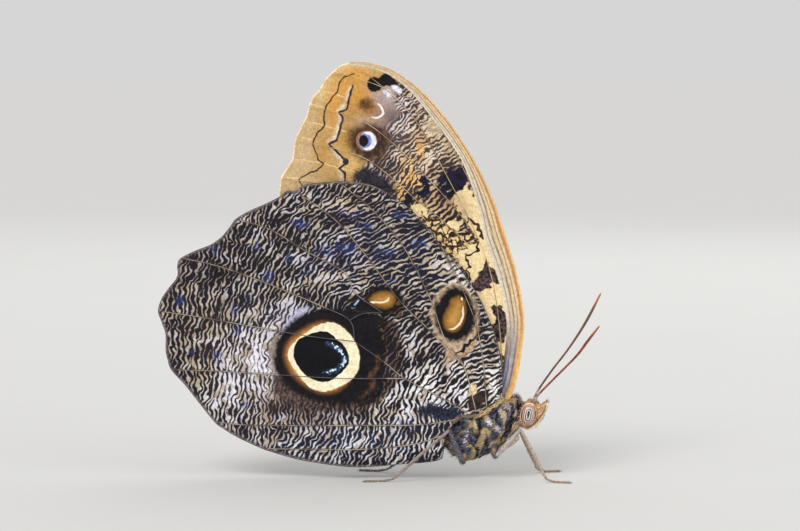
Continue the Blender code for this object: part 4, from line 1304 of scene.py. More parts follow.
def wing_finish(name, layers, second_pale, third_pale, fields):
    finish = Finish(name, roughness=0.6, sheen=0.02, specular=0.14)
    ragged = finish.sway(2.2)
    colour = pale_and_dark(finish, second_pale, third_pale, ragged)
    for layer, (soft, rag, *tints) in layers.items():
        value = finish.plus(finish.read(layer), ragged, rag)
        if layer + "_tint" in fields:
            tint = finish.read(layer + "_tint", "Color")
        elif tints[0] in SHADES:
            stops = [(place / SHADE_REACH, shade) for place, shade in SHADES[tints[0]]]
            tint = finish.ramp(finish.maths("DIVIDE", value, SHADE_REACH), stops)
        else:
            tint = finish.mottle(*tints)
        colour = finish.over(colour, tint, value, -soft, soft)
    if "costa" in fields:
        colour = leading_strip(finish, colour)
    dorsal = finish.mix(finish.noise(0.3, 2.0), *map(paint, DORSAL))
    colour = finish.over(dorsal, colour, finish.read("on_outer"), 0.3, 0.7)
    scales = finish.cells(SCALES_PER_MM, finish.stretched(SCALE_SHAPE))
    glitter = finish.step(scales["Color"], 0.1, 0.9, 0.84, 1.12)
    light = finish.step(finish.noise(1.4, 4.0), 0.3, 0.7, 0.88, 1.1)
    finish.cover(colour, finish.maths("MULTIPLY", glitter, light))
    finish.bump(scales["Distance"], 0.05, 0.5)
    return finish.material


def vein_finish(name, tint, shade):
    finish = Finish(name, roughness=0.5)
    colour = finish.mottle(tint, shade, 0.35, 0.42, 0.62)
    finish.cover(finish.over(colour, VEIN_IN_BLACK, finish.read("in_black"), -0.6, 0.3, 0.0, 0.85))
    finish.bump(finish.noise(6.0, 2.0), 0.03, 0.4)
    return finish.material


# Each wing's second and third pale colour, and its veins' colour and shade
FOREWING_PALES = ((186, 150, 118), (224, 214, 204))
HINDWING_PALES = ((172, 154, 132), (206, 204, 220))
FOREWING_VEIN_TINTS = ((212, 186, 142), (160, 128, 96))
HINDWING_VEIN_TINTS = ((186, 172, 146), (106, 94, 86))
FOREWING_SEED = 3
HINDWING_SEED = 8


def dress_wings():
    """Both pairs of wings, with their veins. Gives the plan of the hindwings, whose roots have a fringe."""
    fore = WingPlan(
        (FOREWING_LEADING_EDGE, FOREWING_MARGIN, FOREWING_INNER_EDGE), FOREWING_VEINS, FOREWING_OFFSET, 0.0,
        FOREWING_RIPPLE, FOREWING_RIPPLES, (), FOREWING_SEED,
    )
    hind = WingPlan(
        (HINDWING_LEADING_EDGE, HINDWING_MARGIN, HINDWING_INNER_EDGE), HINDWING_VEINS, HINDWING_OFFSET,
        FOLD_SPREAD, HINDWING_RIPPLE, HINDWING_RIPPLES, HINDWING_TURNS, HINDWING_SEED,
    )
    from_costa, costa_share = near_line(fore.spots, fore.leading)
    costa = {"costa": from_costa / np.interp(costa_share, *zip(*COSTA_WIDTH)), "costa_share": costa_share}
    fore_fields = wing_fields(
        fore, forewing_drawing(fore) | costa, FOREWING_DARK, FOREWING_DARK_WASHES, FOREWING_PALE,
        FOREWING_PALE_WASHES, FOREWING_BLUES,
    )
    hind_fields = wing_fields(
        hind, hindwing_drawing(hind), HINDWING_DARK, HINDWING_DARK_WASHES, HINDWING_PALE,
        HINDWING_PALE_WASHES, HINDWING_BLUES,
    )
    wings = [
        ("forewing", fore, fore_fields, [],
         wing_finish("forewing_scales", FOREWING_LAYERS, *FOREWING_PALES, fore_fields),
         vein_finish("forewing_veins", *FOREWING_VEIN_TINTS)),
        ("hindwing", hind, hind_fields, [EYESPOT_BLACK, *BLACK_ZONES],
         wing_finish("hindwing_scales", HINDWING_LAYERS, *HINDWING_PALES, hind_fields),
         vein_finish("hindwing_veins", *HINDWING_VEIN_TINTS)),
    ]
    for word, side in SIDES.items():
        for wing, plan, fields, black_zones, scales, veins in wings:
            skin = plan.build(f"{wing}_skin_{word}", side, scales, fields)
            finish_piece(skin, wing, f"{wing}_{word}")
            finish_piece(plan.vein_piece(f"{wing}_veins_{word}", side, veins, black_zones), wing)
    return hind


# Body

# Thorax as sections across X: x, height of the centre, half height, half width
THORAX_SECTIONS = row("""
    13.4,8.4,1.6,1.4 14.2,8.3,3.2,2.6 15.8,8.1,4.4,3.5 17.8,8.5,5.2,4.1 20.2,9.5,5.6,4.3
    22.6,10.6,5.4,4.1 24.8,11.5,4.8,3.6 26.6,12.1,3.7,2.9 27.8,12.6,2.5,2.1 28.3,12.8,1.2,1
""")
ABDOMEN_RADII = row("1.5 2.1 2.45 2.5 2.45 2.35 2.15 1.85 1.45 0.9")
# The abdomen's rings: how many, how far inside the solid they lie, and the grooves between its segments
ABDOMEN_RINGS = 73
ABDOMEN_SINK = 0.12
ABDOMEN_GROOVE = 0.16
ABDOMEN_SEGMENTS = 9
GROOVE_SHARPNESS = 0.86
HEAD_CENTRE = (30.0, 0.0, 12.8)
HEAD_RADII = (1.9, 2.0, 2.8)
HEAD_SINK = 0.15
EYE_CENTRE = (29.7, 1.7, 12.8)
EYE_RADII = (1.42, 0.95, 2.05)
EYE_TILT = -9.0
# Half height of the eye's dark slit, by the eye's half height: a painted pseudopupil
EYE_PSEUDOPUPIL = 0.3
PALP_Y = 0.85
PALP_SINK = (0.1, 0.04)
# Palp: x, z, half depth in the plane of the body, half width
PALP_SECTIONS = row("""
    28.8,10.5,0.5,0.4 29.4,10.4,0.75,0.48 30.6,10.9,1,0.58 31.4,12,1.1,0.62 32.1,13.2,1.15,0.62
    32.8,14.25,0.85,0.5 33.5,15,0.42,0.3 33.85,15.4,0.14,0.12
""")
# Rounded forms that close the gaps between the solids or stand out on them: centre, radii; twins at -y
BODY_FORMS = rows("""
    28.2,0,12.7 1.6,1.7,2.5; 27,1.3,15.3 1.5,1.1,1; 24.6,2.4,14.7 2.4,0.9,1; 30.6,0,14.4 1.3,1.2,1.1;
    31.4,0,13 1.6,1,1.9; 14.4,0,7.9 2.2,2,2.2; 30.2,0.8,10.8 1.5,0.6,0.9; 31.2,0.75,12.9 1.2,0.75,1.9
""")
COAT_DEPTH = 0.28
SKIN_STEP = 0.24
SKIN_SMOOTHING = 4
SECTION_SIDES = 40
# The skin round the eye: a raised ring (place, width and height, by the eye's reach), and a bed for the eye
EYE_RING = (1.08, 0.09, 0.16)
EYE_BED = (0.97, 0.30)
# The skin about the eyes, by its least x and its least distance from the middle: for relief, for colours,
# and where it is bare of tufts, up to a reach
EYE_SKIN = (27.4, 0.9)
EYE_MARKS = (27.2, 0.7)
EYE_BARE = (27.0, 0.7)
EYE_BARE_REACH = 1.08
EYE_FAR = 9.0
SUTURE_DEPTH = 0.35
SECTION_STEP = 0.6
PALP_STEP = 0.3
SKIN_WAVE = (0.05, 0.9, 61)

# Blue-grey patches on the thorax's side and the lines on it, as (x, z)
THORAX_PATCHES = rows("""
    16.6,11.3 0.85 1.1; 16.9,8.1 0.75 1; 18.5,9.5 0.75 0.62; 18.7,8 0.6 0.8; 21.7,7.6 0.62 0.95; 23.2,8.9
    0.66 0.78; 21.8,10.8 0.7 0.8; 20.2,11.5 0.6 0.95; 18.2,12.7 0.7 0.5; 25.9,13.6 0.7 1.25; 24.1,11 0.5
    1.2; 25.5,9 0.6 0.75; 27.4,12 0.5 0.7; 21,5.6 0.6 0.8; 23.4,6.2 0.7 0.6; 17.6,5.6 0.8 0.7; 23.8,13.8
    0.7 0.7; 15.4,9.6 0.5 0.8; 22.6,12.8 0.55 0.6; 25.8,11.2 0.4 0.7
""")
THORAX_SUTURES = rows("""
    20,12.4 20.1,10.4 19.5,8.4 19.4,6.4 19.6,3.6; 28,16 28.1,14 28.2,12; 27.4,12.4 26.2,10.6 25,9 24,7.6;
    23.2,14 23.4,12.4 23,10.4; 21,8 21.8,6.4 22,4.8; 26.4,15.2 26.8,13.6 26.2,11.6 25.2,10
""")
THORAX_OCHRES = rows("""
    20.4,3.2 20.8,5.6 22,6.4 23.2,8 24.6,9.6 25.2,10.8; 28,11 26.8,9.2 25.4,7.6 23.8,5.8; 18.4,10.8
    19.2,11.2 19.6,10.4; 17.2,6.2 18.4,6.8 19.2,5.6 18.8,4; 20.8,10 21.2,8.8 20.8,7.2; 24.6,14.6 25,12.8
    24.4,11.6; 26.8,15.6 27,13.2 26.8,10.8
""")
THORAX_HIGHLIGHTS = rows("""
    25,15.2 25.8,14.4 26.2,13.2; 23.8,14.4 24.4,13.6 24.6,12.4; 21.2,12.8 22,12 22.4,10.8; 17.2,9.6
    17.6,8.4 17.4,7.2; 13.6,8.2 14.4,6.4 15.6,4.6; 16.4,12.2 17.6,12 18,11.2; 22.8,11.6 23.6,10.4 24,9.2;
    27.6,11.2 28.2,10 28.4,8.4
""")
THORAX_BANDS = rows("27.4,15.8 27.7,14 27.7,12.2")
PALP_EDGE = row("33.8,15.2 33.5,13.9 33.1,12.8 32.3,11.6 31.2,10.3 29.8,9.6")
PALP_LINE = row("33.2,14.7 33,13.9 32.6,13 31.8,12 30.8,10.8 29.6,10.1")


def loft_form(cage, rings):
    """Adds one closed form through rings of points to a mesh under construction."""
    loops = [[cage.verts.new(Vector(point) * MM) for point in ring] for ring in rings]
    for low, high in zip(loops, loops[1:]):
        for k in range(len(low)):
            after = (k + 1) % len(low)
            cage.faces.new((low[k], low[after], high[after], high[k]))
    cage.faces.new(loops[0][::-1])
    cage.faces.new(loops[-1])


def round_form(cage, centre, radii):
    made = bmesh.ops.create_uvsphere(cage, u_segments=40, v_segments=24, radius=1.0)
    bmesh.ops.scale(cage, vec=Vector(radii) * MM, verts=made["verts"])
    bmesh.ops.translate(cage, vec=Vector(centre) * MM, verts=made["verts"])


def thorax_rings(turns):
    return [
        [(x, (wide - COAT_DEPTH) * math.cos(a), z + (high - COAT_DEPTH) * math.sin(a)) for a in turns]
        for x, z, high, wide in through(THORAX_SECTIONS, SECTION_STEP)
    ]


def abdomen_rings(turns):
    start, end = np.array(ABDOMEN_START), np.array(ABDOMEN_END)
    dx, dz = unit(end - start)
    rings = []
    for share in np.linspace(0.0, 1.0, ABDOMEN_RINGS):
        radius = float(evenly(share, ABDOMEN_RADII)) - ABDOMEN_SINK
        in_groove = math.cos(share * 2 * ABDOMEN_SEGMENTS * math.pi) > GROOVE_SHARPNESS
        radius -= ABDOMEN_GROOVE * in_groove + (0.5 * radius if share in (0.0, 1.0) else 0.0)
        x, z = start + (end - start) * share
        rings.append([
            (x - dz * radius * math.sin(a), radius * math.cos(a), z + dx * radius * -math.sin(a))
            for a in turns
        ])
    return rings


def palp_rings(turns, side):
    palp = through(PALP_SECTIONS, PALP_STEP)
    rings = []
    for (x, z, deep, wide), (dx, dz) in zip(palp, unit(np.gradient(palp[:, :2], axis=0))):
        deep, wide = deep - PALP_SINK[0], wide - PALP_SINK[1]
        rings.append([
            (x - dz * deep * math.cos(a), side * PALP_Y + wide * math.sin(a), z + dx * deep * math.cos(a))
            for a in turns
        ])
    return rings


def body_cage():
    """All forms of the body as one mesh under construction, whose parts still run through each other."""
    cage = bmesh.new()
    turns = math.tau * np.arange(SECTION_SIDES) / SECTION_SIDES
    loft_form(cage, thorax_rings(turns))
    loft_form(cage, abdomen_rings(turns))
    round_form(cage, HEAD_CENTRE, [radius - HEAD_SINK for radius in HEAD_RADII])
    for side in SIDES.values():
        loft_form(cage, palp_rings(turns[::2], side))
        for (x, y, z), radii in BODY_FORMS:
            if y or side > 0:
                round_form(cage, (x, side * y, z), radii)
    bmesh.ops.recalc_face_normals(cage, faces=cage.faces)
    return cage


def eye_flat(points):
    """Places across and up the eye as seen from the side, in shares of its half width and half height."""
    turn = math.radians(EYE_TILT)
    x, z = points[:, 0] - EYE_CENTRE[0], points[:, 2] - EYE_CENTRE[2]
    across, up = x * math.cos(turn) + z * math.sin(turn), z * math.cos(turn) - x * math.sin(turn)
    return across / EYE_RADII[0], up / EYE_RADII[2]


def eye_reach(points):
    """How far points are from the middle of the nearer eye, with the eye's rim at 1."""
    return np.hypot(*eye_flat(points))


def about_eyes(points, least_x, least_out):
    return (points[:, 0] > least_x) & (np.abs(points[:, 1]) > least_out)


def one_skin(cage):
    """The mesh of a cage whose parts are melted into one."""
    rough = bpy.data.meshes.new("body_cage")
    cage.to_mesh(rough)
    cage.free()
    holder = placed("body_cage", rough)
    remesh = holder.modifiers.new("remesh", "REMESH")
    remesh.mode = "VOXEL"
    remesh.voxel_size = SKIN_STEP * MM
    holder.modifiers.new("smooth", "SMOOTH").iterations = SKIN_SMOOTHING
    mesh = bpy.data.meshes.new_from_object(holder.evaluated_get(bpy.context.evaluated_depsgraph_get()))
    bpy.data.objects.remove(holder)
    return mesh


def body_skin():
    """The points, normals and faces of one skin over thorax, abdomen, head and palps."""
    mesh = one_skin(body_cage())
    points = np.zeros(len(mesh.vertices) * 3)
    normals = points.copy()
    mesh.vertices.foreach_get("co", points)
    mesh.vertices.foreach_get("normal", normals)
    points, normals = points.reshape(-1, 3) / MM, normals.reshape(-1, 3)
    faces = [np.array([tuple(p.vertices) for p in mesh.polygons if len(p.vertices) == n]) for n in (3, 4)]
    faces = [group for group in faces if len(group)]
    reach, beside = eye_reach(points), about_eyes(points, *EYE_SKIN)
    ring_place, ring_width, ring_height = EYE_RING
    bed_reach, bed_depth = EYE_BED
    points += normals * (beside * ring_height * bell((reach - ring_place) / ring_width))[:, None]
    points -= normals * (beside * bed_depth * (reach < bed_reach))[:, None]
    brush = BRUSHES["suture_groove"]
    grooves = strokes(points[:, ::2], THORAX_SUTURES, *brush).clip(0, brush[0])
    points -= normals * (SUTURE_DEPTH * grooves * np.abs(normals[:, 1]).clip(0, 1))[:, None]
    points += normals * (SKIN_WAVE[0] * waves(points, *SKIN_WAVE[1:]))[:, None]
    return points, normals, faces


# Colours and markings. The coat's washes are centre, reach, colour; the layers are softness, raggedness and
# two colours that mottle each other.
COAT_COLOUR = (194, 172, 128)
COAT_WASHES = rows("""
    18,7.6 3,3 158,140,110; 14,6.6 2.6,4 126,106,84; 26,7.6 3,1.6 196,172,130; 29.6,13.2 3.4,4 230,190,150;
    32.6,13.2 2.6,3.6 228,182,136; 30.2,10.6 1.6,1.2 232,190,156; 27.6,16.6 1.8,1.6 156,146,158;
    26.6,17.4 0.9,1.6 216,164,106; 29.8,15.8 1.1,0.9 232,176,104; 24,15.2 2,1.2 200,160,96
""")
# The dark back: its colour and strength, from which height it grows and over what, and up to which x
BACK_COLOUR = (104, 78, 58)
BACK_STRENGTH = 0.8
BACK_BOTTOM = 14.2
BACK_FADE = 1.2
BACK_END = 24.5
# The abdomen: its colour, from which x it grows and over what, and the least and added light of its bands
ABDOMEN_COLOUR = (128, 108, 84)
ABDOMEN_FRONT = 14.5
ABDOMEN_FADE = 1.5
BAND_LIGHT = (0.75, 0.45)
SEGMENT_LENGTH = 2.29
PATCH_SHADE = (52, 42, 44)
BODY_WOBBLE = (0.3, 1.1, 71)
# The side markings' least distance from the middle, and how much they shrink nearer to it
SIDE_OUT = 0.9
SIDE_SHRINK = 0.6
PATCH_GROWTH = 0.16
# The dark breast: its greatest distance from the middle, its least and greatest x and its greatest height,
# the waves that break it up, and their share and shift
CHEST_ZONE = (1.5, 19, 29.4, 10.5)
CHEST_WAVE = (1.1, 93)
CHEST_CUT = (0.7, 0.05)
# Painted shade down the groove between the palps: its least x and half width
PALP_GAP_SHADE = (30.6, 0.17)
# Rings of colour about the eye: half width, and place by the eye's reach, with the eye's mean size
RING_MARK = (0.13, 1.07)
SHADE_MARK = (0.12, 1.20)
EYE_SIZE = 1.6
# The last layer is painted shade in the groove between the palps
BODY_LAYERS = named("""
    ochres 0.14 0.5 226,206,164 194,168,122
    patches 0.12 0.4 48,46,60 104,106,130
    highlights 0.12 0.5 232,224,220 196,188,200
    collar 0.14 0.3 176,150,162 112,90,112
    sutures 0.14 0.3 18,15,22 38,30,42
    chest 0.2 0.5 62,54,60 98,82,72
    eye_shade 0.3 0.2 150,106,70 120,82,56
    eye_ring 0.08 0.1 250,226,196 236,204,172
    edge_line 0.1 0.2 150,96,60 120,76,50
    edge 0.12 0.2 250,238,214 232,212,182
    groove 0.14 0.2 74,52,40 104,76,56
""")
COAT_STREAKS = ((0.35, 1.2, 1.2), (0.0, 0.5, 0.0))


def coat_colour(flat, x, z):
    """The coat's own colour: washes on head and thorax, a dark back, and a banded abdomen."""
    coat = washed(flat, COAT_COLOUR, COAT_WASHES)
    high = ((z - BACK_BOTTOM) / BACK_FADE).clip(0, 1)[:, None] * (x < BACK_END)[:, None]
    coat += (paint(BACK_COLOUR) - coat) * high * BACK_STRENGTH
    tail = ((ABDOMEN_FRONT - x) / ABDOMEN_FADE).clip(0, 1)[:, None]
    band = 0.5 + 0.5 * np.cos((ABDOMEN_START[0] - x) * math.tau / SEGMENT_LENGTH)[:, None]
    return coat + (paint(ABDOMEN_COLOUR) * (BAND_LIGHT[0] + BAND_LIGHT[1] * band) - coat) * tail


def body_colours(points):
    """Coat colour and markings for any points on or near the skin."""
    flat = points[:, ::2]
    x, y, z = points.T
    out = np.abs(y)
    reach = np.where(about_eyes(points, *EYE_MARKS), eye_reach(points), EYE_FAR)
    uneven = wobbled(flat, *BODY_WOBBLE)
    side = np.where(out > SIDE_OUT, 0.0, -SIDE_SHRINK)
    widest, back, front, top = CHEST_ZONE
    chest = (out < widest) & (x > back) & (x < front) & (z < top)
    share, shift = CHEST_CUT
    shade_back, shade_width = PALP_GAP_SHADE

    def lines(near, curves, name):
        return strokes(near, curves, *BRUSHES[name])

    def eye_mark(half_width, place):
        return half_width - np.abs(reach - place) * EYE_SIZE

    return {
        "coat": coat_colour(flat, x, z),
        "patches": ovals(uneven, THORAX_PATCHES) + PATCH_GROWTH + side,
        "sutures": lines(uneven, THORAX_SUTURES, "sutures") + side,
        "ochres": lines(uneven, THORAX_OCHRES, "ochres") + side,
        "highlights": lines(uneven, THORAX_HIGHLIGHTS, "highlights") + side,
        "collar": lines(flat, THORAX_BANDS, "collar") + side,
        "edge": stroke(flat, PALP_EDGE, *BRUSHES["edge"]),
        "edge_line": stroke(flat, PALP_LINE, *BRUSHES["edge_line"]),
        # Painted shade down the groove between the palps
        "groove": np.where(x > shade_back, shade_width - out, OUTSIDE),
        "chest": np.where(chest, share * waves(points, *CHEST_WAVE) - shift, OUTSIDE),
        "eye_ring": eye_mark(*RING_MARK),
        "eye_shade": eye_mark(*SHADE_MARK),
    }


def body_finish():
    finish = Finish("body_coat", roughness=0.72, sheen=0.08, specular=0.15)
    hairs = finish.noise(2.6, MOTTLE_DETAIL, finish.stretched(*COAT_STREAKS))
    ragged = finish.maths("SUBTRACT", hairs, 0.5)
    dark_edge = finish.plus(finish.maths("ADD", finish.read("patches"), 0.22), ragged, 0.5)
    colour = finish.over(finish.read("coat", "Color"), PATCH_SHADE, dark_edge, -0.14, 0.14, 0.0, 0.7)
    for layer, (soft, rag, *tints) in BODY_LAYERS.items():
        value = finish.plus(finish.read(layer), ragged, rag)
        colour = finish.over(colour, finish.mottle(*tints, 1.6), value, -soft, soft)
    finish.cover(colour, finish.step(hairs, 0.25, 0.75, 0.72, 1.18))
    finish.bump(hairs, 0.12, 0.6)
    return finish.material


# Coat

COAT_TUFTS = 11000
COAT_SEED = 17
# The body's middle line, as (x, z), and its unwrap: start and length along X, and turns across it
MIDDLE_LINE = ((-6, 15, 20, 25, 30, 34), (5.9, 8.0, 9.5, 11.5, 12.6, 12.8))
UNWRAP_START = -7.5
UNWRAP_LENGTH = 43.5
UNWRAP_TURNS = 1.1
UNWRAP_PLACE = (0.02, 0.95)
SEAM_WIDTH = 0.45
# Length and half width of the coat's tufts along X
TUFT_LENGTHS = ((-6, 12, 16, 25, 27.5, 29, 34), (0.5, 0.7, 0.95, 0.95, 0.8, 0.5, 0.42))
TUFT_WIDTHS = ((12, 27, 30), (0.085, 0.075, 0.05))
# A tuft has seven points: three at its root, three at its bend, and its tip
TUFT_POINTS = 7
TUFT_CORNERS = np.array([(0, 0), (0.5, 0), (1, 0), (0, 0.5), (0.5, 0.5), (1, 0.5), (0.5, 1)]) * 0.003
TUFT_TRIS = np.array([(0, 2, 1), (3, 4, 6), (4, 5, 6), (5, 3, 6)])
TUFT_QUADS = np.array([(0, 1, 4, 3), (1, 2, 5, 4), (2, 0, 3, 5)])
# Regions are x from, x to, z from, z to. The tufts' lie in each: all, the back, the face and the crown
LIE_REGIONS = rows("""
    -99 99 -99 99 -1,0.15,0; -99 28 -99 99 -1,0.15,-0.55; 30.6 99 -99 14 0.45,0.15,0.9;
    28.6 99 14.6 99 0.35,0,1
""")
# Tufts of another length, and the region and least slope of the thorax's sides, where they are shorter
LENGTH_REGIONS = rows("25 28.2 14 99 1.3; 28.6 99 15 99 0.8; 14 18 -99 7 1.3")
SIDE_REGION = (18, 28, -99, 99)
SIDE_SLOPE = 0.6
SIDE_LENGTH = 0.62
# How tufts vary in length, width and lift, and in the direction that they lie in
LENGTH_SPREAD = (0.7, 1.25)
WIDTH_SPREAD = (0.7, 1.3)
LIFT_SPREAD = (0.6, 1.4)
LIE_SPREAD = 0.16
# A tuft's lift on the body and on the crown, and how much closer tufts stand on the head
BODY_LIFT = 0.16
CROWN_LIFT = 0.45
CROWN_REGION = (25, 99, 14, 99)
HEAD_START = 27.5
HEAD_CROWDING = 2.2
# Where patches of the unwrap for separate hairs lie: from, and over what
HAIR_PLACE = (0.05, 0.9)
# How deep a tuft's root sits, how high its bend and its tip rise by its lift, how far its bend stands off,
# and its thickness and its bend's width by the root's width
ROOT_DEPTH = 0.06
BEND_RISE = 0.55
TIP_RISE = 0.75
BEND_GAP = 0.03
TUFT_THICKNESS = 0.5
BEND_WIDTH = 0.8


def around(points):
    """Where each point lies on the body's unwrap: along X, and by angle about the body's middle line."""
    angle = np.arctan2(points[:, 1], points[:, 2] - np.interp(points[:, 0], *MIDDLE_LINE))
    along = UNWRAP_PLACE[0] + UNWRAP_PLACE[1] * (points[:, 0] - UNWRAP_START) / UNWRAP_LENGTH
    return np.stack([along, 0.5 + angle / (UNWRAP_TURNS * math.tau)], axis=1)


def seam_mended(corners):
    """Lets a face that crosses the unwrap's seam run past its edge."""
    wide = corners[..., 1].max(1) - corners[..., 1].min(1) > SEAM_WIDTH
    low = corners[..., 1] < 0.5
    corners[..., 1] += np.where(wide[:, None] & low, 1 / UNWRAP_TURNS, 0.0)
    return corners


def scattered(points, normals, faces, count, draw, weight):
    """Chance spots on a surface by area and the given weight of each point, with their normals."""
    tris = [group[:, [0, k, k + 1]] for group in faces for k in range(1, group.shape[1] - 1)]
    tris = np.concatenate(tris)
    a, b, c = (points[tris[:, k]] for k in range(3))
    share = np.linalg.norm(np.cross(b - a, c - a), axis=1) * weight[tris].mean(1)
    chosen = tris[draw.choice(len(tris), count, p=share / share.sum())]
    mix = draw.dirichlet((1, 1, 1), count)[..., None]
    return (points[chosen] * mix).sum(1), unit((normals[chosen] * mix).sum(1))


def tufts(roots, normals, lies, lengths, widths, lift, draw):
    """Closed, bent, pointed tufts that lie over a surface, as points and face groups; seven points each."""
    lies = unit(lies - normals * (lies * normals).sum(1)[:, None] + draw.normal(0, LIE_SPREAD, lies.shape))
    side = unit(np.cross(normals, lies))
    lengths, widths = lengths[:, None], widths[:, None]
    lift = np.broadcast_to(lift, len(roots))[:, None] * draw.uniform(*LIFT_SPREAD, (len(roots), 1))
    base = roots - normals * ROOT_DEPTH
    middle = roots + lies * lengths * 0.5 + normals * (lift * lengths * BEND_RISE + BEND_GAP)
    tip = roots + lies * lengths + normals * (lift * lengths * TIP_RISE)
    thick = normals * widths * TUFT_THICKNESS
    rings = [base - side * widths, base + thick, base + side * widths]
    rings += [middle - side * widths * BEND_WIDTH, middle + thick, middle + side * widths * BEND_WIDTH]
    points = np.stack([*rings, tip], axis=1).reshape(-1, 3)
    starts = TUFT_POINTS * np.arange(len(roots))[:, None, None]
    return points, [(TUFT_TRIS + starts).reshape(-1, 3), (TUFT_QUADS + starts).reshape(-1, 4)]


def tuft_piece(name, material, shape, places, fields):
    """A joined mesh of tufts that carry the markings of their roots, each a small patch on the unwrap."""
    points, faces = shape
    piece = new_mesh(name, points, faces, material)
    corners = (places[:, None] + TUFT_CORNERS).reshape(-1, 2)
    bake_map(piece, np.concatenate([corners[group.ravel()] for group in faces]))
    store(piece, **{field: np.repeat(values, TUFT_POINTS, axis=0) for field, values in fields.items()})
    return piece


def within(points, x_low, x_high, z_low, z_high):
    x, _, z = points.T
    return (x > x_low) & (x < x_high) & (z > z_low) & (z < z_high)


def coat_lie(points):
    """The direction that the coat lies in: back along the body, down its sides, and up over the face."""
    lie = np.zeros(points.shape)
    for *region, heading in LIE_REGIONS:
        lie[within(points, *region)] = heading
    lie[:, 1] *= np.sign(points[:, 1])
    return unit(lie)


def coat_lengths(roots, out):
    """The tufts' lengths: longer on collar, crown and breast, shorter on the thorax's sides."""
    lengths = np.interp(roots[:, 0], *TUFT_LENGTHS)
    for *region, length in LENGTH_REGIONS:
        lengths[within(roots, *region)] = length
    lengths[within(roots, *SIDE_REGION) & (np.abs(out[:, 1]) > SIDE_SLOPE)] *= SIDE_LENGTH
    return lengths


def dress_body():
    material = body_finish()
    points, normals, faces = body_skin()
    skin = new_mesh("body_skin", points, faces, material)
    store(skin, **body_colours(points))
    places = around(points)
    bake_map(skin, np.concatenate([seam_mended(places[group]).reshape(-1, 2) for group in faces]))
    finish_piece(skin, "body", "thorax", "abdomen", "head", "palp_left", "palp_right")
    draw = np.random.default_rng(COAT_SEED)
    bare = about_eyes(points, *EYE_BARE) & (eye_reach(points) < EYE_BARE_REACH)
    weight = np.where(bare, 0.0, 1.0) * np.where(points[:, 0] > HEAD_START, HEAD_CROWDING, 1.0)
    roots, out = scattered(points, normals, faces, COAT_TUFTS, draw, weight)
    lengths = coat_lengths(roots, out) * draw.uniform(*LENGTH_SPREAD, len(roots))
    widths = np.interp(roots[:, 0], *TUFT_WIDTHS) * draw.uniform(*WIDTH_SPREAD, len(roots))
    lift = np.where(within(roots, *CROWN_REGION), CROWN_LIFT, BODY_LIFT)
    shape = tufts(roots, out, coat_lie(roots), lengths, widths, lift, draw)
    finish_piece(tuft_piece("body_coat", material, shape, around(roots), body_colours(roots)), "body")


# Long yellow hairs along the hindwing's root: where they stand in the wing's plane, their colours by x, how
# they lie and stand up, and how long and wide they are
FRINGE_LINE = row("14.4,11.4 16.8,12.4 19.2,12.4 21,13.4 23.4,15 24.8,15.8")
FRINGE_TINTS = rows("17.5 150,132,112; 19 190,162,122; 20 242,204,132; 23 248,220,156; 24.6 206,182,148")
FRINGE_COUNT = 170
FRINGE_SEED = 43
FRINGE_SPREAD = 0.2
FRINGE_LIE = (0.8, 0.0, 0.62)
FRINGE_LIFT = 0.22
FRINGE_SEAT = 0.04
FRINGE_LENGTHS = (0.7, 1.5)
FRINGE_WIDTHS = (0.04, 0.075)


def dress_fringe(hind):
    finish = Finish("fringe_hairs", roughness=0.7, sheen=0.2, specular=0.25)
    streaky = finish.step(finish.noise(3.0, 2.0), 0.35, 0.65, 0.78, 1.15)
    finish.cover(finish.read("coat", "Color"), streaky)
    path = through(FRINGE_LINE, SCATTER_STEP)
    seen, tints = zip(*FRINGE_TINTS)
    for word, side in SIDES.items():
        draw = np.random.default_rng(FRINGE_SEED)
        flat = path[draw.integers(0, len(path), FRINGE_COUNT)]
        flat = flat + draw.normal(0, FRINGE_SPREAD, (FRINGE_COUNT, 2))
        height = hind.outer_height(flat, nearest_of(flat, hind.curves)) + FRINGE_SEAT
        out, lies = (np.tile(heading, (FRINGE_COUNT, 1)) for heading in ((0, float(side), 0), FRINGE_LIE))
        lengths = draw.uniform(*FRINGE_LENGTHS, FRINGE_COUNT)
        widths = draw.uniform(*FRINGE_WIDTHS, FRINGE_COUNT)
        shape = tufts(raised(flat, side * height), out, lies, lengths, widths, FRINGE_LIFT, draw)
        shades = [np.interp(flat[:, 0], seen, channel) for channel in zip(*map(paint, tints))]
        places = HAIR_PLACE[0] + HAIR_PLACE[1] * draw.uniform(0, 1, (FRINGE_COUNT, 2))
        fields = {"coat": np.stack(shades, axis=1)}
        finish_piece(tuft_piece("fringe_" + word, finish.material, shape, places, fields), "body")


# Eyes, feelers and legs

# The eye's bands of colour from its slit outwards, and the ball's rings and sides. The dark slit in the
# middle is a painted pseudopupil, the dark spot where the facets face the viewer.
EYE_BANDS = rows("""
    0 20,22,24; 0.09 26,28,30; 0.15 238,238,216; 0.23 226,222,204; 0.3 40,38,46; 0.37 50,42,54; 0.45
    240,216,208; 0.53 222,190,184; 0.62 92,54,70; 0.72 226,178,164; 0.84 204,152,116; 0.93 62,38,32; 1
    36,26,24
""")
EYE_RINGS = 47
EYE_SIDES = 72


def eye_finish():
    finish = Finish("eye_facets", roughness=0.28, specular=0.6, coat=0.5)
    wavering = finish.plus(finish.read("from_slit"), finish.noise(1.3, 2.0), 0.3)
    facets = finish.cells(16.0)["Distance"]
    # The dark middle band is a painted pseudopupil
    bands = finish.ramp(finish.maths("SUBTRACT", wavering, 0.15), EYE_BANDS)
    finish.cover(bands, finish.step(facets, 0.0, 0.7, 1.08, 0.86))
    finish.bump(facets, 0.02, 0.35)
    return finish.material


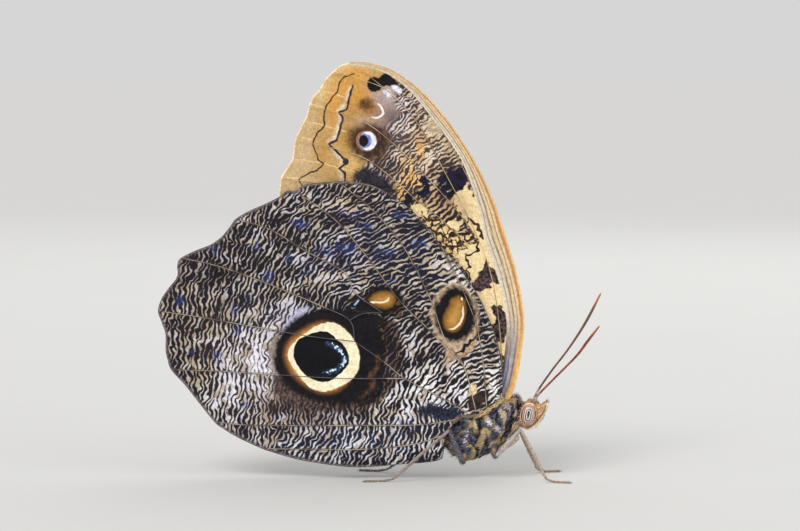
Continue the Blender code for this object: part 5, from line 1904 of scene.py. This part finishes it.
def dress_eyes():
    material = eye_finish()
    turn = math.radians(EYE_TILT)
    rise = np.linspace(0, math.pi, EYE_RINGS + 2)[1:-1, None]
    spin = np.linspace(0, math.tau, EYE_SIDES, endpoint=False)[None]
    height = np.broadcast_to(np.cos(rise), (EYE_RINGS, EYE_SIDES))
    ball = np.stack([np.sin(rise) * np.cos(spin), height, np.sin(rise) * np.sin(spin)], axis=-1)
    x, y, z = (np.vstack([ball.reshape(-1, 3), (0, 1, 0), (0, -1, 0)]) * EYE_RADII).T
    across, up = x * math.cos(turn) - z * math.sin(turn), x * math.sin(turn) + z * math.cos(turn)
    ball = np.stack([across, y, up], axis=1)
    faces = [group[:, ::-1] for group in tube_faces(EYE_RINGS, EYE_SIDES)]
    for word, side in SIDES.items():
        points = np.array(EYE_CENTRE) * (1, side, 1) + ball
        piece = new_mesh("eye_ball_" + word, points, faces, material)
        across, up = eye_flat(points)
        # Distance from the painted pseudopupil in the eye's middle
        from_slit = np.hypot(across, np.maximum(np.abs(up) - EYE_PSEUDOPUPIL, 0)) * (1 + 0.3 * up ** 2)
        store(piece, from_slit=from_slit)
        finish_piece(piece, "eye", "eye_" + word)


# Feelers: half widths from root to tip, the path of each, its colours, and its rings. The left feeler, on
# the far side, has its colours painted darker as shade.
ANTENNA_RADII = row("0.36 0.27 0.25 0.25 0.25 0.25 0.27 0.31 0.34 0.3 0.2")
ANTENNA_PATHS = named("""
    right 30.6,-0.8,14.6 31.6,-1,16.6 34.8,-1.5,20 39.2,-2.6,24.6 41.4,-3.4,27.6 43.8,-4.2,30.8
    left 30.6,0.8,14.6 31.4,1,17 34.4,1.6,21.4 37.8,2.4,25.8 41.2,3.4,31 44.25,4.4,36.8
""")
# Colours of the near right feeler, and of the far left one painted darker as shade
ANTENNA_LIT_AND_SHADED_TINTS = named("""
    right 158,66,30 118,44,20
    left 112,70,36 84,52,30
""")
ANTENNA_SLIM = 0.86
ANTENNA_RING = 0.42
RING_DEPTH = 0.13
RING_SOFTNESS = 0.16
ANTENNA_SIDES = 14
ANTENNA_END = 6
RING_SHADE = (46, 24, 16)
ANTENNA_TIP = (178, 92, 40)
ANTENNA_ROOT = ((196, 180, 160), (110, 92, 78))


def antenna_finish(word):
    finish = Finish("feeler_" + word, roughness=0.42, specular=0.5)
    share = finish.read("share")
    # On the far left feeler these tints are painted darker as shade
    colour = finish.mottle(*ANTENNA_LIT_AND_SHADED_TINTS[word], 1.2, 0.35, 0.65)
    colour = finish.over(colour, RING_SHADE, finish.read("ring"), 0.0, 0.14, 0.6, 0.0)
    colour = finish.over(colour, ANTENNA_TIP, share, 0.86, 0.93)
    finish.cover(finish.over(colour, finish.mottle(*ANTENNA_ROOT, 3.0), share, 0.09, 0.15, 1.0, 0.0))
    finish.bump(finish.noise(5.0), 0.03, 0.5)
    return finish.material


def dress_antennae():
    for word in SIDES:
        path = through(ANTENNA_PATHS[word], 0.07)
        length = np.concatenate([[0], np.cumsum(np.linalg.norm(np.diff(path, axis=0), axis=1))])
        share = length / length[-1]
        ring = (length / ANTENNA_RING) % 1
        before, after = (RING_DEPTH * bell(away / RING_SOFTNESS) for away in (ring, 1 - ring))
        radii = evenly(share, ANTENNA_RADII) * ANTENNA_SLIM * (1 - before - after)
        radii[-ANTENNA_END:] *= np.sqrt(np.linspace(1, 0.05, ANTENNA_END))
        points, faces = ribbon(path, (0, 1, 0), radii, radii, ANTENNA_SIDES)
        piece = new_mesh("feeler_" + word, points, faces, antenna_finish(word))
        to_ring = np.minimum(ring, 1 - ring)
        store(
            piece,
            share=np.append(np.repeat(share, ANTENNA_SIDES), (0, 1)),
            ring=np.append(np.repeat(to_ring, ANTENNA_SIDES), (0, 0)),
        )
        finish_piece(piece, "antenna", "antenna_" + word)


# Walking legs, as (x, distance out from the middle, z): hip, trochanter, knee, ankle, toe
WALKING_LEGS = named("""
    midleg_right 22.4,1.6,7.4 23.2,2.7,4.5 28.2,5.2,10.2 33.2,8.6,0.75 38,10.2,0.2
    midleg_left 22.4,1.6,7.4 23.2,2.7,4.5 27.6,5.4,9.6 31.6,8.9,0.75 36.2,10.2,0.2
    hindleg_right 17,1.6,5.6 16.6,3.2,3.5 14,5.5,10 3.2,8.4,0.75 -2.8,9.6,0.2
    hindleg_left 17,1.6,5.6 16.6,3.2,3.5 14.4,5.6,9.6 1.4,8.8,0.75 -4.6,10.2,0.2
""")
FORELEG_PATHS = rows("25.4,1.2,9.4 25.9,1.5,7.2 27.8,1.5,8.1; 27.8,1.5,8.1 26.6,1.6,6.9 25.2,1.7,6.1")
LEG_TINTS = named("""
    midleg 178,158,140 196,184,184
    hindleg 150,138,128 78,82,108
    foreleg 196,172,140 196,172,140
""")
LEG_SPECKLES = ((92, 74, 62), (232, 218, 200))
FOOT_SHADE = (84, 66, 56)
HIP_TINTS = ((84, 82, 108), (158, 130, 90))
# Half widths along the four pieces of a leg, and where their colours lie from 0 at the hip to 1 at the toe
COXA, COXA_SHARE = (0.9, 0.85, 0.6), 0.05
FEMUR, FEMUR_SHARE = (0.42, 0.6, 0.55, 0.34), 0.2
TIBIA, TIBIA_SHARE = (0.34, 0.36, 0.34, 0.30), 0.5
TIBIA_SAG = 0.15
TARSUS, TARSUS_SHARE = (0.22, 0.26, 0.28, 0.24), 0.8
TARSUS_JOINTS = 6
TARSUS_HEIGHT = 0.26
TARSUS_BEND = 0.25
TARSUS_OVERLAP = 0.12
TOE_RISE = 0.04
# Steps along a limb, its flatness, and how its ends are rounded off
LIMB_STEP = 0.16
LIMB_FLATNESS = 0.85
LIMB_ROUNDING = (0.12, 0.15)
# Claw, as (place along the foot, drop), with its half width and how it spreads
CLAW = [(0.0, 0.0), (0.28, -0.02), (0.46, -0.14)]
CLAW_WIDTH = 0.05
CLAW_SPREAD = (0.1, 0.3)
CLAW_START = (0.1, 0.06)
# Spurs on the tibia: their places along it (from, to, step), the way they lean, their length and how far
# they run along the tibia, their half widths and height, and their place along the leg
SPUR_PLACES = (0.12, 1.0, 0.055)
SPUR_OUT = 0.6
SPUR_DOWN = 0.4
SPUR_LENGTH = 0.62
SPUR_LEAN = 0.4
SPUR_WIDTHS = (0.05, 0.012)
SPUR_HEIGHT = 0.03
SPUR_SHARE = 0.62
# Hairs on coxa, femur and tibia: the limb's half width, their number, and the limb's place along the leg
LEG_HAIRS = ((0.8, 320, COXA_SHARE), (0.5, 420, FEMUR_SHARE), (0.3, 360, TIBIA_SHARE))
LEG_HAIR_SEED = 29
LEG_HAIR_REACH = (0.04, 0.97)
LEG_HAIR_LENGTHS = (0.75, 0.5)
LEG_HAIR_SPREAD = (0.6, 1.2)
LEG_HAIR_WIDTH = 0.06
# A limb's half width where hairs stand, at its ends and added in its middle, and how deep the hairs sit
LEG_HAIR_SWELL = (0.75, 0.3)
LEG_HAIR_SEAT = 0.82
LEG_HAIR_LIFT = 0.14
FORELEG_SHAPES = ((0.36, 0.42), (0.24, 0.28))
FORELEG_SHARE = 0.3
LIMB_SIDES = 12
LIMB_UP = (0, 1, 0.01)


def leg_joints(name, side):
    return np.array(WALKING_LEGS[name]) * (1, side, 1)


def limb(start, end, radii, sag=0.0):
    """A straight or slightly bowed limb piece whose half width follows the given radii."""
    length = np.linalg.norm(end - start)
    share = np.linspace(0, 1, max(6, round(length / LIMB_STEP)))
    path = start + (end - start) * share[:, None]
    path[:, 2] += sag * np.sin(math.pi * share)
    from_end = np.minimum(share, 1 - share) * length
    wide = evenly(share, radii) * np.minimum(1, np.sqrt(from_end / LIMB_ROUNDING[0] + LIMB_ROUNDING[1]))
    return ribbon(path, LIMB_UP, wide * LIMB_FLATNESS, wide, LIMB_SIDES)


def foot_parts(ankle, toe):
    """The jointed foot and its two claws."""
    flat = ankle + TARSUS_BEND * (toe - ankle)
    flat[2] = TARSUS_HEIGHT
    joints = through([ankle, flat, toe + (0, 0, TOE_RISE)], 1.0)
    joints = joints[np.linspace(0, len(joints) - 1, TARSUS_JOINTS).round().astype(int)]
    parts = [
        (limb(start, end + TARSUS_OVERLAP * (end - start), TARSUS), TARSUS_SHARE)
        for start, end in zip(joints, joints[1:])
    ]
    heading = unit(toe - flat)
    across = np.cross(heading, (0, 0, 1))
    apart, spread = CLAW_SPREAD
    back, rise = CLAW_START
    for side in (-1, 1):
        path = [
            toe + heading * (along - back) + across * side * (apart + spread * along) + (0, 0, drop + rise)
            for along, drop in CLAW
        ]
        parts.append((ribbon(through(path, 0.06), (0, 0, 1), CLAW_WIDTH, CLAW_WIDTH, 6), 1.0))
    return parts


def spur_parts(name, side, knee, ankle):
    """Short spines along the tibia."""
    spurs = np.random.default_rng(sum(map(ord, name)))
    parts = []
    for share in np.arange(*SPUR_PLACES):
        root = knee + (ankle - knee) * share
        out = spurs.normal(0, 1, 3) + (0, SPUR_OUT * side, -SPUR_DOWN)
        tip = root + SPUR_LENGTH * unit(out) + SPUR_LEAN * unit(ankle - knee)
        spine = ribbon(np.linspace(root, tip, 4), (0.1, 0, 1), np.linspace(*SPUR_WIDTHS, 4), SPUR_HEIGHT, 5)
        parts.append((spine, SPUR_SHARE))
    return parts


def leg_parts(name, side):
    """Closed pieces of one walking leg, each with its place along the leg from 0 to 1."""
    hip, trochanter, knee, ankle, toe = leg_joints(name, side)
    return [
        (limb(hip, trochanter, COXA), COXA_SHARE),
        (limb(trochanter, knee, FEMUR), FEMUR_SHARE),
        (limb(knee, ankle, TIBIA, TIBIA_SAG), TIBIA_SHARE),
        *foot_parts(ankle, toe),
        *spur_parts(name, side, knee, ankle),
    ]


def leg_finish(kind):
    finish = Finish("scales_" + kind, roughness=0.6, sheen=0.15, specular=0.3)
    low, high = LEG_TINTS[kind]
    dark, pale = LEG_SPECKLES
    speckle, share = finish.noise(4.0), finish.read("share")
    colour = finish.over(paint(high), low, share, 0.3, 0.42)
    colour = finish.over(colour, dark, speckle, 0.52, 0.62, 0.0, 0.55)
    colour = finish.over(colour, pale, speckle, 0.34, 0.44, 0.5, 0.0)
    colour = finish.over(colour, FOOT_SHADE, share, 0.6, 0.95, 0.0, 0.45)
    hip = finish.mottle(*HIP_TINTS, 1.2, 0.42, 0.58)
    finish.cover(finish.over(colour, hip, share, 0.06, 0.12, 1.0, 0.0))
    finish.bump(finish.cells(8.0)["Distance"], 0.04, 0.5)
    return finish.material


def leg_hairs(name, side, draw):
    """Short hairs round coxa, femur and tibia: their shape, and the share of the leg where each stands."""
    joints = leg_joints(name, side)
    roots, out, lies, shares = [], [], [], []
    for start, end, (radius, count, share) in zip(joints, joints[1:], LEG_HAIRS):
        along = unit(end - start)
        across = unit(np.cross(along, LIMB_UP))
        up = np.cross(across, along)
        place, spin = draw.uniform(*LEG_HAIR_REACH, count), draw.uniform(0, math.tau, count)
        normal = across * np.cos(spin)[:, None] + up * np.sin(spin)[:, None]
        reach = radius * (LEG_HAIR_SWELL[0] + LEG_HAIR_SWELL[1] * np.sin(math.pi * place))
        roots.append(start + (end - start) * place[:, None] + normal * (LEG_HAIR_SEAT * reach)[:, None])
        out.append(normal)
        lies.append(np.tile(along, (count, 1)))
        shares.append(np.full(count, share))
    roots, out, lies, shares = (np.concatenate(group) for group in (roots, out, lies, shares))
    lengths = np.where(shares < TIBIA_SHARE, *LEG_HAIR_LENGTHS) * draw.uniform(*LEG_HAIR_SPREAD, len(roots))
    widths = LEG_HAIR_WIDTH * draw.uniform(*WIDTH_SPREAD, len(roots))
    return tufts(roots, out, lies, lengths, widths, LEG_HAIR_LIFT, draw), shares


def dress_walking_leg(name, side, material, draw):
    parts = leg_parts(name, side)
    piece = new_mesh("limb_" + name, *merged([part for part, _ in parts]), material)
    store(piece, share=np.concatenate([np.full(len(part[0]), share) for part, share in parts]))
    finish_piece(piece, "leg", name)
    shape, shares = leg_hairs(name, side, draw)
    spread = np.stack([draw.uniform(0, 1, len(shares)), shares], axis=1)
    spread = HAIR_PLACE[0] + HAIR_PLACE[1] * spread
    finish_piece(tuft_piece("hair_" + name, material, shape, spread, {"share": shares}), "leg")


def dress_legs():
    finishes = {kind: leg_finish(kind) for kind in LEG_TINTS}
    draw = np.random.default_rng(LEG_HAIR_SEED)
    for word, side in SIDES.items():
        for kind in ("midleg", "hindleg"):
            dress_walking_leg(f"{kind}_{word}", side, finishes[kind], draw)
        parts = [
            ribbon(through(np.array(path) * (1, side, 1), 0.15), LIMB_UP, *shape, LIMB_SIDES)
            for path, shape in zip(FORELEG_PATHS, FORELEG_SHAPES)
        ]
        piece = new_mesh("limb_foreleg_" + word, *merged(parts), finishes["foreleg"])
        store(piece, share=np.full(len(piece.data.vertices), FORELEG_SHARE))
        finish_piece(piece, "leg", "foreleg_" + word)


# Camera, light and floor


def stage_object(name, data, place):
    """A camera or a light at a place, turned towards the point that the camera looks at."""
    made = placed(name, data)
    made.location = place
    made.rotation_euler = (Vector(LOOK_AT) - made.location).to_track_quat("-Z", "Y").to_euler()
    return made


def set_stage():
    turn, rise = math.radians(CAMERA_AZIMUTH), math.radians(CAMERA_ELEVATION)
    lens = bpy.data.cameras.new("camera")
    lens.lens = CAMERA_LENS
    lens.clip_start = CAMERA_NEAREST
    back = Vector((math.sin(turn) * math.cos(rise), -math.cos(turn) * math.cos(rise), math.sin(rise)))
    bpy.context.scene.camera = stage_object("camera", lens, Vector(LOOK_AT) + back * CAMERA_DISTANCE)
    for name, place, width, watts, colour in LIGHTS:
        lamp = bpy.data.lights.new(name, "AREA")
        lamp.size, lamp.energy, lamp.color = width, watts, colour
        stage_object(name, lamp, place)
    sun = bpy.data.lights.new("sun", "SUN")
    sun.energy, sun.angle, sun.color = SUN_STRENGTH, SUN_WIDTH, SUN_COLOUR
    stage_object("sun", sun, SUN_PLACE)
    bpy.context.scene.view_settings.view_transform = "Standard"
    world = bpy.data.worlds.new("soft_daylight")
    bpy.context.scene.world = world
    world.use_nodes = True
    sky = world.node_tree.nodes["Background"]
    sky.inputs["Color"].default_value = WORLD_COLOUR
    sky.inputs["Strength"].default_value = WORLD_STRENGTH
    under = (0, 0, -FLOOR_DROP)
    bpy.ops.mesh.primitive_circle_add(vertices=96, radius=FLOOR_RADIUS, fill_type="NGON", location=under)
    floor = bpy.context.object
    floor.name = "floor"
    finish = Finish("floor_paper", roughness=0.85)
    finish.cover(finish.mix(finish.noise(0.02), *FLOOR_COLOURS))
    floor.data.materials.append(finish.material)


set_stage()
hind_plan = dress_wings()
dress_body()
dress_fringe(hind_plan)
dress_eyes()
dress_antennae()
dress_legs()
